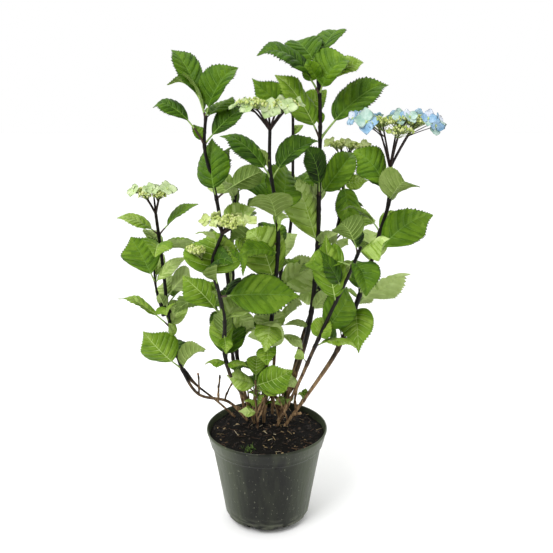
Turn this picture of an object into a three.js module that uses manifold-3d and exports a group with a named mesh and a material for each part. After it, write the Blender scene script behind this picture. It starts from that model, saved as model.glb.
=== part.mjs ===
// Hydrangea shrub with lacecap blooms, grown in a round nursery pot.
// Millimetres, +Z up, -Y towards the best side and +X to its right.
// The origin is on the pot's axis, on the surface that the pot stands on.
import * as THREE from 'three';
import { mergeVertices } from 'three/addons/utils/BufferGeometryUtils.js';
import Module from 'manifold-3d';

const wasm = await Module();
wasm.setup();

const gap = 0.35; // kept between neighbouring pieces
const leafGap = 0.6; // kept round leaves
const smallest = 0.08; // the least detail that cutting back may leave
const pot = {
  facets: 24,
  height: 150,
  rimRadius: 93.5,
  bandRadius: 88,
  bandHeight: 25,
  bandStep: 2.6,
  wall: 2.4,
  baseRadius: 66,
  footRadius: 57,
  footHeight: 7,
  floor: 2.6,
  drainHoles: 8,
  drainSize: [12, 11, 5],
};
const soil = { edgeHeight: 140, crownHeight: 149, crownRadius: 66 };
const cane = { sides: 5, step: 52 };
const sleeve = { wall: 1.4, length: 8 };
const leaf = { stalkShare: 0.23, stalkRadius: 1.5, ribRadius: 1.2, foldDeg: 15, arch: 0.16 };
const bladeOutline = [[0.2, 0.85], [0.46, 1], [0.76, 0.58]]; // share of length, of half width
const bloom = {
  branchRadius: 1.5,
  branchSides: 3,
  branchReach: 0.62, // share of the cap's radius
  waves: 3,
  waveDepth: 0.1,
  sides: 9,
};

// A cane gives its radius at foot and tip, and the points that it passes on its way up.
// Its masses of leaves are listed by the height of the stem nodes that they grow from.
// A leaf is [bearing, reach, rise, width, facing]: the bearing and the rise of its tip from
// the stem node in degrees, its length from node to tip, and how far its upper side turns
// from the sky (0) to the best side (1), or away from it (-1).
const canes = {
  left: {
    radius: [3.8, 2.4],
    line: [[-31, 18], [-35, 18, 166], [-66, 14, 186], [-112, 5, 204], [-131, 4, 245], [-148, 6, 324],
      [-154, 9, 400], [-162, 12, 482]],
    masses: [
      {
        452: [[-168, 66, 25, 38, 0.2], [17, 75, 35, 39, 0.1]],
        425: [[-11, 64, 18, 37, -0.4], [135, 52, 38, 26, 0.1]],
      },
      { 355: [[-25, 66, 46, 37, -1], [98, 53, 24, 33, 1]] },
      { 309: [[-179, 92, 35, 31, 0.2], [63, 53, 40, 29, 0.8]] },
      { 244: [[-162, 87, 50, 51, 1], [-25, 55, 40, 32, -0.2]] },
    ],
    blooms: [{ centre: [-165, 12, 514], radius: 36, thick: 14, branches: 4 }],
  },
  left_shoot: {
    radius: [2.2, 1.5],
    line: [[-148, 6, 324], [-160, 2, 356], [-167, 0, 385], [-166, 0, 416]],
    masses: [
      { 382: [[-149, 80, 65, 52, 1], [2, 63, 40, 19, 0.5]] },
    ],
  },
  old: {
    radius: [3, 2.4],
    line: [[-52, 32], [-58, 31, 162], [-84, 27, 182], [-108, 17, 208], [-131, 5, 244]],
    masses: [],
  },
  mid_left: {
    radius: [4.2, 2.5],
    line: [[-24, 33], [-42, 29, 220], [-54, 30, 325], [-66, 34, 437], [-76, 37, 510], [-91, 39, 577],
      [-88, 40, 622]],
    masses: [
      {
        618: [
          [176, 78, 45, 37, 0], [9, 90, 58, 49, 0.4], [55, 70, 25, 41, 0.2],
          [163, 110, 62, 39, 0.4],
        ],
      },
      { 580: [[179, 97, 38, 29, 0.5], [20, 98, 40, 38, 0.5]] },
      { 502: [[-14, 91, 29, 32, -0.8], [98, 90, 71, 51, 1]] },
      { 331: [[-25, 51, -40, 27, 0.8], [115, 77, -4, 42, 0.5]] },
    ],
  },
  back_left: {
    radius: [3.8, 2.4],
    line: [[-36, 48], [-57, 62, 250], [-55, 80, 364], [-56, 97, 450], [-49, 110, 507]],
    masses: [
      { 503: [[15, 73, 9, 49, 0.5], [147, 58, 14, 38, 0.7]] },
      { 431: [[-29, 71, 50, 49, 0.5], [-19, 55, -26, 29, 0.7]] },
      { 329: [[31, 76, 13, 55, 0.8], [104, 60, -1, 44, 0.8]] },
    ],
  },
  front: {
    radius: [3.8, 2.2],
    line: [[-20, 10], [-34, -8, 200], [-60, -32, 262], [-59, -50, 325], [-61, -72, 379], [-76, -80, 402],
      [-66, -97, 444], [-55, -110, 474]],
    masses: [
      { 465: [[-166, 34, 24, 15, -0.4]], 442: [[-44, 67, -11, 20, -0.5]] },
      { 401: [[80, 70, 84, 69, 0.8]], 379: [[4, 112, -1, 50, 0.7]] },
      { 338: [[-167, 90, 50, 36, 0.6], [62, 70, 8, 41, 0.6]] },
      { 281: [[132, 70, 73, 33, 0.2]], 265: [[-165, 34, 8, 22, 0.1], [-20, 33, 8, 22, 0.1]] },
    ],
    blooms: [
      { centre: [-47, -110, 490], radius: 37, thick: 12, branches: 4 },
      { from: [-76, -80, 402], centre: [-92, -98, 450], radius: 14, thick: 12, branches: 1 },
    ],
  },
  middle: {
    radius: [4.2, 2.5],
    line: [[-5, 12], [-2, 5, 225], [6, -3, 310], [15, -10, 405], [17, -17, 475], [6, -25, 551],
      [6, -30, 603]],
    masses: [
      { 536: [[176, 98, 43, 36, 0.4], [9, 84, 38, 39, 0.4]] },
      { 474: [[-107, 70, 41, 54, -0.4], [81, 96, 54, 57, 1]] },
      { 378: [[-162, 96, 66, 61, 0.6], [56, 73, -39, 40, 0.3]] },
      {
        300: [[-11, 57, -17, 21, 0.2], [96, 44, 55, 43, -0.2]],
        277: [[-102, 71, 57, 48, 0.2], [-93, 34, -27, 27, -0.4]],
      },
    ],
    blooms: [{ centre: [6, -30, 635], radius: 52, thick: 16, branches: 5 }],
  },
  back: {
    radius: [3.6, 2.3],
    line: [[8, 42], [14, 66, 290], [25, 86, 393], [38, 97, 450], [41, 112, 530], [41, 130, 630]],
    masses: [
      { 623: [[-171, 85, 38, 43, 1], [4, 63, 36, 36, 1]] },
      { 491: [[55, 85, 28, 41, 0.4], [116, 82, 8, 49, 0.6]] },
      { 393: [[-20, 54, 64, 36, 0.3]], 353: [[-7, 84, 33, 52, 1]] },
    ],
  },
  tall: {
    radius: [4.6, 2.6],
    line: [[18, 16], [40, 17, 215], [62, 19, 290], [75, 22, 400], [78, 26, 559], [77, 29, 646],
      [71, 30, 698]],
    masses: [
      { 691: [[51, 86, 43, 46, -0.1], [132, 60, 38, 51, 0.9]] },
      { 652: [[-165, 109, 31, 57, 0.4], [-15, 70, 50, 59, 0.5]] },
      { 588: [[14, 136, 38, 47, 0.5], [-171, 113, 55, 44, 0.5]] },
      { 506: [[-101, 85, 65, 33, -0.6], [20, 93, 54, 41, 1]] },
      { 434: [[-167, 106, 71, 53, 0.5], [-64, 63, 25, 25, -0.6]] },
      { 331: [[-22, 49, 50, 21, -0.7]], 310: [[-160, 45, 5, 22, 0.3]] },
    ],
  },
  front_right: {
    radius: [3.8, 2.2],
    line: [[16, 0], [46, -16, 222], [74, -39, 302], [90, -54, 347], [115, -77, 415], [127, -90, 453]],
    masses: [
      {
        442: [[-144, 53, 55, 39, -0.4], [-24, 49, 35, 41, 0.2]],
        428: [[-81, 50, -52, 34, -0.1], [97, 37, -43, 21, 0.2]],
      },
      { 369: [[-129, 96, 81, 41, 1]] },
      { 308: [[-23, 91, 54, 50, 1], [21, 40, 69, 27, 0.6]] },
    ],
  },
  right: {
    radius: [4.6, 2.6],
    line: [[28, 0], [59, 0, 196], [108, -2, 277], [139, -5, 365], [166, -8, 465], [178, -9, 519],
      [175, -10, 550]],
    masses: [
      { 504: [[173, 85, 53, 43, 0.6], [-74, 66, 33, 48, -0.4]] },
      { 411: [[-119, 52, 49, 26, -0.2], [-15, 114, 41, 57, 0.9], [91, 65, 37, 46, -0.6]] },
      { 343: [[-84, 68, -60, 47, 1], [-25, 103, 40, 59, -0.6]] },
    ],
    blooms: [{ centre: [185, -10, 615], radius: 70, thick: 18, branches: 7 }],
  },
  back_right: {
    radius: [3.8, 2.3],
    line: [[24, 28], [58, 68, 275], [88, 92, 355], [112, 116, 430], [126, 143, 515], [128, 150, 538]],
    masses: [
      { 512: [[-69, 91, -72, 41, 0], [-15, 42, 10, 23, 0.8]] },
      { 423: [[-35, 27, -8, 20, 0.4], [30, 90, 20, 43, 0.5]] },
    ],
    blooms: [{ centre: [131, 150, 568], radius: 40, thick: 16, branches: 4 }],
  },
  low: {
    radius: [2.6, 1.8],
    line: [[-14, -8], [-16, -12, 180], [-17, -14, 232]],
    masses: [
      { 224: [[-160, 50, 27, 30, 0.4], [-16, 66, 27, 40, 0.8], [83, 46, 68, 28, 0.2]] },
    ],
  },
};

const finish = {
  pot: { color: 0x33372f, roughness: 0.5, metalness: 0 },
  soil: { color: 0x241b15, roughness: 1, metalness: 0 },
  cane: { color: 0x3a2a22, roughness: 0.75, metalness: 0 },
  leaf: { color: 0x4c7a2f, roughness: 0.5, metalness: 0 },
  bloom: { color: 0xcfd8c0, roughness: 0.6, metalness: 0 },
};

const up = new THREE.Vector3(0, 0, 1);
const back = new THREE.Vector3(0, 1, 0);
const vector = (list) => new THREE.Vector3(...list);
const radians = THREE.MathUtils.degToRad;

// ---- solids ----

function solid(geometry) {
  const bare = geometry.clone();
  bare.deleteAttribute('normal');
  bare.deleteAttribute('uv');
  const merged = mergeVertices(bare, 1e-4);
  const triVerts = new Uint32Array(merged.index.array);
  const vertProperties = merged.attributes.position.array;
  const made = new wasm.Manifold(new wasm.Mesh({ numProp: 3, vertProperties, triVerts }));
  if (made.volume() >= 0) return made;
  for (let i = 0; i < triVerts.length; i += 3) {
    [triVerts[i], triVerts[i + 1]] = [triVerts[i + 1], triVerts[i]];
  }
  return new wasm.Manifold(new wasm.Mesh({ numProp: 3, vertProperties, triVerts }));
}

const joined = (solids) => solids.reduce((all, one) => all.add(one));

function largest(made) {
  return made.decompose().reduce((best, one) => (one.volume() > best.volume() ? one : best));
}

function geometryOf(made) {
  const mesh = made.getMesh();
  const geometry = new THREE.BufferGeometry();
  geometry.setAttribute('position', new THREE.BufferAttribute(mesh.vertProperties, 3));
  geometry.setIndex(new THREE.BufferAttribute(mesh.triVerts, 1));
  return geometry;
}

// A unit cylinder or cone whose rings are moved: place gets the ring's number and the
// direction of a corner, which is [0, 0] on the axis.
function bent(sides, rings, pointed, place) {
  const geometry = new THREE.CylinderGeometry(pointed ? 0 : 1, 1, 1, sides, rings);
  const position = geometry.attributes.position;
  for (let i = 0; i < position.count; i++) {
    const ring = Math.round((position.getY(i) + 0.5) * rings);
    const length = Math.hypot(position.getX(i), position.getZ(i));
    const x = length > 1e-6 ? position.getX(i) / length : 0;
    const z = length > 1e-6 ? position.getZ(i) / length : 0;
    position.setXYZ(i, ...place(ring, x, z).toArray());
  }
  return geometry;
}

// ---- canes ----

// The cane's centre line: a run of points with the direction and the radius at each.
// A cane out of the soil starts level, from its flat cut.
function pathOf({ line, radius }) {
  const points = line.map(([x, y, z = soil.crownHeight + gap]) => vector([x, y, z]));
  const curve = new THREE.CatmullRomCurve3(points, false, 'centripetal');
  const steps = Math.ceil(curve.getLength() / cane.step);
  const path = curve.getSpacedPoints(steps).map((point, i, all) => ({
    point,
    direction: all[Math.min(i + 1, steps)].clone().sub(all[Math.max(i - 1, 0)]).normalize(),
    radius: THREE.MathUtils.lerp(radius[0], radius[1], i / steps),
  }));
  if (line[0].length === 2) path[0].direction = up;
  return path;
}

// The place on a path at a height.
function atHeight(path, height) {
  const last = path.length - 2;
  const i = THREE.MathUtils.clamp(path.findIndex((place) => place.point.z > height) - 1, 0, last);
  const from = path[i];
  const to = path[i + 1];
  const share = (height - from.point.z) / (to.point.z - from.point.z);
  return {
    point: from.point.clone().lerp(to.point, share),
    direction: to.point.clone().sub(from.point).normalize(),
    radius: THREE.MathUtils.lerp(from.radius, to.radius, share),
  };
}

// A tapering tube on a path, grown by more all round and at both ends.
function tube(path, more, sides = cane.sides) {
  const last = path.length - 1;
  return solid(bent(sides, last, false, (ring, x, z) => {
    const { point, direction, radius } = path[ring];
    const across = back.clone().cross(direction).normalize();
    const round = across.clone().cross(direction);
    const longer = more * ((ring === last) - (ring === 0));
    return point.clone()
      .addScaledVector(direction, longer)
      .addScaledVector(across, x * (radius + more))
      .addScaledVector(round, z * (radius + more));
  }));
}

// ---- leaves ----

// One leaf with its stalk, from the middle of the stem to its tip: a narrow rod that widens
// to a thin blade, folded up along its rib and arched along its length. Its edges are
// sharp, and the form grown by more has a flat edge round them.
function leafSolid(from, [bearing, reach, rise, width, facing], more) {
  const level = Math.cos(radians(rise));
  const [east, north] = [level * Math.cos(radians(bearing)), level * Math.sin(radians(bearing))];
  const axis = vector([east, north, Math.sin(radians(rise))]);
  const upper = vector([0, -facing, 1 - Math.abs(facing)]);
  upper.addScaledVector(axis, -upper.dot(axis)).normalize();
  const across = axis.clone().cross(upper);
  const tip = from.clone().addScaledVector(axis, reach);
  const middle = from.clone().lerp(tip, 0.5).addScaledVector(upper, leaf.arch * reach);
  const curve = new THREE.QuadraticBezierCurve3(from, middle, tip);
  const blade = bladeOutline.map(([along, wide]) => ({
    along: leaf.stalkShare + (1 - leaf.stalkShare) * along,
    half: wide * width / 2,
    thick: leaf.ribRadius,
    fold: radians(leaf.foldDeg),
  }));
  const stalk = { half: leaf.stalkRadius, thick: leaf.stalkRadius, fold: 0 };
  const rings = [{ along: 0, ...stalk }, { along: leaf.stalkShare, ...stalk }, ...blade];
  return solid(bent(more ? 6 : 4, rings.length, true, (ring, x, z) => {
    if (ring === rings.length) return tip.clone().addScaledVector(axis, more);
    const { along, half, thick, fold } = rings[ring];
    const normal = across.clone().cross(curve.getTangent(along)).normalize();
    const side = Math.abs(x) > 0.5 ? Math.sign(x) : 0;
    const lift = side ? half * Math.sin(fold) + Math.sign(z) * more : z * (thick + more);
    return curve.getPoint(along)
      .addScaledVector(across, side * (half + more) * Math.cos(fold))
      .addScaledVector(normal, lift);
  }));
}

// The leaves of one mass, held together by the swollen sleeve round their stem nodes.
function massSolid(path, mass, more) {
  const heights = Object.keys(mass).map(Number);
  const leaves = heights.flatMap((height) => (
    mass[height].map((one) => leafSolid(atHeight(path, height).point, one, more))
  ));
  const low = Math.min(...heights) - sleeve.length / 2;
  const high = Math.max(...heights) + sleeve.length / 2;
  const between = path.filter(({ point }) => point.z > low + 2 && point.z < high - 2);
  const collar = tube([atHeight(path, low), ...between, atHeight(path, high)], gap + sleeve.wall + more);
  return joined([collar, ...leaves]);
}

// ---- blooms ----

// A lacecap bloom: branches that spread from the cane's tip, under a flat cap with an
// uneven edge.
function bloomSolid(from, { centre, radius, thick, branches }, more) {
  const middle = vector(centre);
  const ball = new THREE.SphereGeometry(1, bloom.sides, 4);
  ball.rotateX(Math.PI / 2);
  const position = ball.attributes.position;
  for (let i = 0; i < position.count; i++) {
    const [x, y, z] = [position.getX(i), position.getY(i), position.getZ(i)];
    const uneven = 1 + bloom.waveDepth * Math.cos(bloom.waves * Math.atan2(y, x));
    const spread = radius * uneven + more;
    position.setXYZ(i, middle.x + x * spread, middle.y + y * spread, middle.z + z * (thick / 2 + more));
  }
  const stalks = Array.from({ length: branches }, (_, i) => {
    const turn = i * 2 * Math.PI / branches;
    const out = branches > 1 ? bloom.branchReach * radius : 0;
    const end = middle.clone().add(vector([out * Math.cos(turn), out * Math.sin(turn), 0]));
    return rod(from, end, bloom.branchRadius + more);
  });
  return joined([solid(ball), ...stalks]);
}

function rod(from, to, radius) {
  const direction = to.clone().sub(from).normalize();
  return tube([{ point: from, direction, radius }, { point: to, direction, radius }], 0, bloom.branchSides);
}

// ---- pot and soil ----

function turned(profile) {
  const points = profile.map(([radius, height]) => new THREE.Vector2(radius, height));
  return solid(new THREE.LatheGeometry(points, pot.facets).rotateX(Math.PI / 2));
}

// The plain wall stands between the foot's ledge and the rim band.
const bandBottom = pot.height - pot.bandHeight;
const ledgeHeight = pot.footHeight + 2;
const wallTopRadius = pot.bandRadius - pot.bandStep;

function potSolid() {
  const shell = turned([
    [0, 0],
    [pot.footRadius, 0],
    [pot.footRadius, pot.footHeight],
    [pot.baseRadius, ledgeHeight],
    [wallTopRadius, bandBottom],
    [pot.bandRadius, bandBottom + 1],
    [pot.rimRadius, pot.height],
    [pot.rimRadius - pot.wall, pot.height],
    [pot.bandRadius - pot.wall, bandBottom + 2],
    [wallTopRadius - pot.wall, bandBottom - 1],
    [pot.baseRadius - pot.wall, ledgeHeight + pot.wall],
    [pot.footRadius - pot.wall, pot.footHeight + pot.wall],
    [pot.footRadius - pot.wall, pot.floor],
    [0, pot.floor],
  ]);
  const [deep, wide, high] = pot.drainSize;
  const holes = Array.from({ length: pot.drainHoles }, (_, i) => (
    solid(new THREE.BoxGeometry(deep, wide, high)
      .translate(pot.footRadius, 0, high / 2 - 1)
      .rotateZ((i + 0.5) * 2 * Math.PI / pot.drainHoles))
  ));
  return shell.subtract(joined(holes));
}

function soilSolid() {
  const bandInside = THREE.MathUtils.mapLinear(
    soil.edgeHeight, bandBottom, pot.height, pot.bandRadius - pot.wall, pot.rimRadius - pot.wall);
  return turned([
    [0, pot.floor + gap],
    [pot.footRadius - 2 * pot.wall - gap, pot.floor + gap],
    [wallTopRadius - pot.wall - gap, bandBottom - 1],
    [bandInside - 2 * gap, soil.edgeHeight],
    [soil.crownRadius, soil.crownHeight],
    [0, soil.crownHeight],
  ]);
}

// ---- the plant in its pot ----

const group = new THREE.Group();
const placed = []; // the grown form of each piece so far, which later pieces are cut back from

function overlaps(a, b) {
  return [0, 1, 2].every((i) => a.min[i] <= b.max[i] && b.min[i] <= a.max[i]);
}

function place(name, kind, made, grown) {
  const cleared = placed
    .filter((other) => overlaps(other.boundingBox(), made.boundingBox()))
    .reduce((rest, other) => rest.subtract(other), made);
  const whole = largest(cleared).simplify(smallest);
  const mesh = new THREE.Mesh(geometryOf(whole), new THREE.MeshStandardMaterial(finish[kind]));
  mesh.name = name;
  group.add(mesh);
  if (grown) placed.push(grown);
}

place('pot', 'pot', potSolid());
place('soil', 'soil', soilSolid());

const plant = Object.entries(canes).map(([name, one]) => ({ name, path: pathOf(one), ...one }));

for (const { name, path } of plant) {
  place(`cane_${name}`, 'cane', tube(path, 0), tube(path, gap));
}

for (const { name, path, blooms = [] } of plant) {
  blooms.forEach((head, i) => {
    const from = head.from ? vector(head.from) : path.at(-1).point;
    place(`bloom_${name}_${i + 1}`, 'bloom', bloomSolid(from, head, 0), bloomSolid(from, head, gap));
  });
}

for (const { name, path, masses } of plant) {
  masses.forEach((mass, i) => {
    place(`leaves_${name}_${i + 1}`, 'leaf', massSolid(path, mass, 0), massSolid(path, mass, leafGap));
  });
}

export default group;
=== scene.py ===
import math
import random

import bmesh
import bpy
import numpy as np
from mathutils import Matrix, Vector, noise


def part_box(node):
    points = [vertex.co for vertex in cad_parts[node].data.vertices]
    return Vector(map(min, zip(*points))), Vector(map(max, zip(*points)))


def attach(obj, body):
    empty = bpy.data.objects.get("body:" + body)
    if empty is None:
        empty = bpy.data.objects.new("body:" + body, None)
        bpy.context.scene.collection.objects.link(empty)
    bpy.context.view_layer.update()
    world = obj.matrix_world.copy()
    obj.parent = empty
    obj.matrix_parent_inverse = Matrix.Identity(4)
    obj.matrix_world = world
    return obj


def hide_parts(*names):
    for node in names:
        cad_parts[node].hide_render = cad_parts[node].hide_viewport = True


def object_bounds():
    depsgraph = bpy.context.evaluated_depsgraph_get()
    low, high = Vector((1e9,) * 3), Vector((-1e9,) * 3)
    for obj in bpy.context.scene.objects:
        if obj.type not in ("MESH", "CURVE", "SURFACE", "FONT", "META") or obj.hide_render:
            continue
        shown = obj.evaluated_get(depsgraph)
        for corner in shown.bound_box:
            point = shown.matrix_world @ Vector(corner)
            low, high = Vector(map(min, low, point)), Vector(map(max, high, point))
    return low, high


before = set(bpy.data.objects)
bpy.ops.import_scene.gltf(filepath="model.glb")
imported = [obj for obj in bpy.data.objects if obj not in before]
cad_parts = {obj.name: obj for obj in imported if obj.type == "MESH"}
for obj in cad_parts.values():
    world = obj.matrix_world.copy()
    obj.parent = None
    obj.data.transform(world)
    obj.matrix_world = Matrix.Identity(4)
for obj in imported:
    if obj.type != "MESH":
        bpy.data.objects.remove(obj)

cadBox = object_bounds()
nodeNames = sorted(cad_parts)
up = Vector((0, 0, 1))
eye = Vector((0.015, -0.955, 0.625))  # where the best side is seen from
print("frame loaded:", len(nodeNames), "nodes")


def mix(a, b, share):
    return a + (b - a) * share


# how far a value has gone from low to high, eased at both ends
def eased(low, high, value):
    share = np.clip((value - low) / (high - low), 0, 1)
    return share * share * (3 - 2 * share)


# a paint swatch, each part from 0 to 255, as a linear colour
def swatch(*parts):
    shares = [part / 255 for part in parts]
    return (*[s / 12.92 if s <= 0.04045 else ((s + 0.055) / 1.055) ** 2.4 for s in shares], 1.0)


# a unit vector at a bearing from +X towards +Y and a rise from the level, in degrees
def heading(bearing, rise):
    turn, lift = math.radians(bearing), math.radians(rise)
    return Vector((math.cos(turn) * math.cos(lift), math.sin(turn) * math.cos(lift), math.sin(lift)))


# a point on the curve from start to end that is drawn towards bend
def curved(start, bend, end, t):
    return start * (1 - t) ** 2 + bend * (2 * t * (1 - t)) + end * t ** 2


# gives a socket its value, or the wire that carries one
def feed(tree, socket, value):
    if isinstance(value, bpy.types.NodeSocket):
        tree.links.new(value, socket)
    else:
        socket.default_value = value


# the outputs of a new node, which has these settings, and values or wires for its inputs
def addNode(tree, kind, inputs, **settings):
    node = tree.nodes.new("ShaderNode" + kind)
    for name, value in settings.items():
        setattr(node, name, value)
    for key, value in inputs.items():
        feed(tree, node.inputs[key], value)
    return node.outputs


def addMath(tree, operation, *inputs):
    return addNode(tree, "Math", dict(enumerate(inputs)), operation=operation)["Value"]


def addRange(tree, value, low, high, ends=(0, 1), curve="LINEAR"):
    inputs = {"Value": value, "From Min": low, "From Max": high, "To Min": ends[0], "To Max": ends[1]}
    return addNode(tree, "MapRange", inputs, interpolation_type=curve)["Result"]


def addBlend(tree, factor, first, second, kind="RGBA"):
    one, other, made = {"RGBA": (6, 7, 2), "FLOAT": (2, 3, 0)}[kind]
    return addNode(tree, "Mix", {0: factor, one: first, other: second}, data_type=kind)[made]


def addObject(name, data):
    made = bpy.data.objects.new(name, data)
    bpy.context.scene.collection.objects.link(made)
    return made


# an object of the mesh in the making, which is used up
def addPiece(name, bm, materials):
    mesh = bpy.data.meshes.new(name)
    bm.to_mesh(mesh)
    bm.free()
    for material in materials:
        mesh.materials.append(material)
    return addObject(name, mesh)


def newMaterial(name):
    material = bpy.data.materials.new(name)
    material.use_nodes = True
    return material, material.node_tree, material.node_tree.nodes["Principled BSDF"].inputs


# wires a look into a shader, with a relief of the given depth
def coat(tree, shader, color, rough, height, depth, gloss, strength=1):
    relief = addNode(tree, "Bump", {"Height": height, "Distance": depth, "Strength": strength})
    looks = {"Base Color": color, "Roughness": rough, "Specular IOR Level": gloss,
             "Normal": relief["Normal"]}
    for name, value in looks.items():
        feed(tree, shader[name], value)


# A node group that blends two tints in soft patches and gives a fine grain of height,
# with a roughness that follows the patches.
mottleMake = {
    "inputs": {"Tint A": ("Color", (1, 1, 1, 1)), "Tint B": ("Color", (0, 0, 0, 1)),
               "Patch Scale": ("Float", 40), "Grain Scale": ("Float", 600), "Stretch": ("Vector", (1, 1, 1)),
               "Rough Low": ("Float", 0.4), "Rough High": ("Float", 0.6)},
    "outputs": {"Color": "Color", "Height": "Float", "Roughness": "Float"},
    "detail": 3, "spread": (0.35, 0.65), "edge": 0.35}


def makeMottle():
    group = bpy.data.node_groups.new("mottle", "ShaderNodeTree")
    for name, (kind, value) in mottleMake["inputs"].items():
        socket = group.interface.new_socket(name=name, in_out="INPUT", socket_type="NodeSocket" + kind)
        socket.default_value = value
    for name, kind in mottleMake["outputs"].items():
        group.interface.new_socket(name=name, in_out="OUTPUT", socket_type="NodeSocket" + kind)
    start = group.nodes.new("NodeGroupInput").outputs
    end = group.nodes.new("NodeGroupOutput").inputs
    place = addNode(group, "VectorMath", {0: addNode(group, "TexCoord", {})["Object"], 1: start["Stretch"]},
                    operation="MULTIPLY")["Vector"]
    patches = addNode(group, "TexNoise", {"Vector": place, "Scale": start["Patch Scale"],
                                          "Detail": mottleMake["detail"]})["Fac"]
    spread = addRange(group, patches, *mottleMake["spread"])
    grain = addNode(group, "TexVoronoi", {"Vector": place, "Scale": start["Grain Scale"]},
                    feature="DISTANCE_TO_EDGE")["Distance"]
    feed(group, end["Color"], addBlend(group, spread, start["Tint A"], start["Tint B"]))
    feed(group, end["Roughness"], addBlend(group, spread, start["Rough Low"], start["Rough High"], "FLOAT"))
    feed(group, end["Height"], addRange(group, grain, 0, mottleMake["edge"]))
    return group


mottle = makeMottle()


# The mottle in a tree of nodes, with the size of its patches and grain in a metre. long
# draws them out upwards.
def addMottle(tree, tintA, tintB, patch, grain, rough, long=1):
    inputs = {"Tint A": swatch(*tintA), "Tint B": swatch(*tintB), "Patch Scale": patch, "Grain Scale": grain,
              "Stretch": (1, 1, 1 / long), "Rough Low": rough[0], "Rough High": rough[1]}
    return addNode(tree, "Group", inputs, node_tree=mottle)


def mottled(name, tintA, tintB, patch=40, grain=600, rough=(0.4, 0.6), depth=0.0002, gloss=0.5):
    material, tree, shader = newMaterial(name)
    surface = addMottle(tree, tintA, tintB, patch, grain, rough)
    coat(tree, shader, surface["Color"], surface["Roughness"], surface["Height"], depth, gloss, 0.6)
    return material


def addBmesh(target, bm):
    part = bpy.data.meshes.new("part")
    bm.to_mesh(part)
    bm.free()
    target.from_mesh(part)
    bpy.data.meshes.remove(part)


# Adds a grid of faces to a piece in the making. Its corners go where place says, and its
# faces take the material that paint says.
def addGrid(target, across, along, place, paint, flip=False):
    bm = bmesh.new()
    bmesh.ops.create_grid(bm, x_segments=across, y_segments=along, size=1)
    for i, corner in enumerate(bm.verts):
        corner.co = place(*divmod(i, across + 1))
    for i, face in enumerate(bm.faces):
        face.material_index = paint(*divmod(i, across))
        face.smooth = True
    if flip:
        bmesh.ops.reverse_faces(bm, faces=bm.faces)
    addBmesh(target, bm)


# Adds a tube on stations of (centre, radius), closed at both ends. swell gives a share of
# the radius from the turn round the tube and the station's number.
def addTube(target, stations, sides, paint=None, swell=None):
    spots = [stations[0][0]] + [centre for centre, _ in stations] + [stations[-1][0]]
    radii = [0] + [radius for _, radius in stations] + [0]
    last = len(spots) - 1
    frames = []
    side = None
    for i in range(last + 1):
        run = (spots[min(i + 2, last)] - spots[max(i - 2, 0)]).normalized()
        side = run.orthogonal() if side is None else side
        side = (side - run * side.dot(run)).normalized()
        frames.append((side, run.cross(side)))

    def place(row, column):
        turn = 2 * math.pi * (column % sides) / sides
        radius = radii[row] * (swell(turn, row) if swell else 1)
        first, second = frames[row]
        return spots[row] + (first * math.cos(turn) + second * math.sin(turn)) * radius

    addGrid(target, sides, last, place, lambda row, column: paint(row) if paint else 0)


def addBead(target, spot, radius, tint):
    bm = bmesh.new()
    bmesh.ops.create_icosphere(bm, subdivisions=1, radius=radius)
    bmesh.ops.scale(bm, vec=(1, 1, 1.15), verts=bm.verts)
    bmesh.ops.translate(bm, vec=spot, verts=bm.verts)
    for face in bm.faces:
        face.material_index = tint
        face.smooth = True
    addBmesh(target, bm)


weld = {"seam": 2e-6, "sliver": 1e-6, "cane": 2e-5}


# Closes a piece's seams, turns its faces out and puts it on the part.
def finishPiece(name, bm, materials, replaced=()):
    bmesh.ops.remove_doubles(bm, verts=bm.verts, dist=weld["seam"])
    bmesh.ops.dissolve_degenerate(bm, edges=bm.edges, dist=weld["sliver"])
    bmesh.ops.recalc_face_normals(bm, faces=bm.faces)
    piece = addPiece(name, bm, materials)
    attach(piece, "root")
    if replaced:
        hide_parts(*replaced)
    piece.data.calc_loop_triangles()
    print("made", name, len(piece.data.loop_triangles))


caneRead = {"ringReach": 0.014, "ringCorners": 5, "step": 0.003}


def mergedCopy(nodeName):
    bm = bmesh.new()
    bm.from_mesh(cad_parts[nodeName].data)
    bmesh.ops.remove_doubles(bm, verts=bm.verts, dist=weld["cane"])
    return bm


# the rings of a packed cane from its foot to its tip, each as (centre, radius)
def caneRings(nodeName):
    bm = mergedCopy(nodeName)
    rings = []
    for spot in sorted((corner.co.copy() for corner in bm.verts), key=lambda spot: spot.z):
        home = next((ring for ring in rings if (ring[0] - spot).length < caneRead["ringReach"]), None)
        if home:
            home.append(spot)
        else:
            rings.append([spot])
    bm.free()
    whole = [(sum(ring, Vector()) / len(ring), ring) for ring in rings
             if len(ring) >= caneRead["ringCorners"]]
    return [(centre, max((spot - centre).length for spot in ring)) for centre, ring in whole]


# a smooth run of (centre, radius) through the rings
def smoothRun(rings):
    points = [rings[0], *rings, rings[-1]]
    run = []
    for i in range(1, len(points) - 2):
        (a, _), (b, rb), (c, rc), (d, _) = points[i - 1:i + 3]
        steps = max(1, round((c - b).length / caneRead["step"]))
        for t in (k / steps for k in range(steps)):
            bend = (c - a) * t + (2 * a - 5 * b + 4 * c - d) * t ** 2 + (3 * b - a - 3 * c + d) * t ** 3
            run.append((b + 0.5 * bend, mix(rb, rc, t)))
    return [*run, rings[-1]]


def stationAt(run, height):
    return min(run, key=lambda station: abs(station[0].z - height))


canes = {name[5:]: smoothRun(caneRings(name)) for name in nodeNames if name.startswith("cane_")}
massNames = {key: [name for name in nodeNames if name.rsplit("_", 1)[0] == "leaves_" + key] for key in canes}


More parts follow.
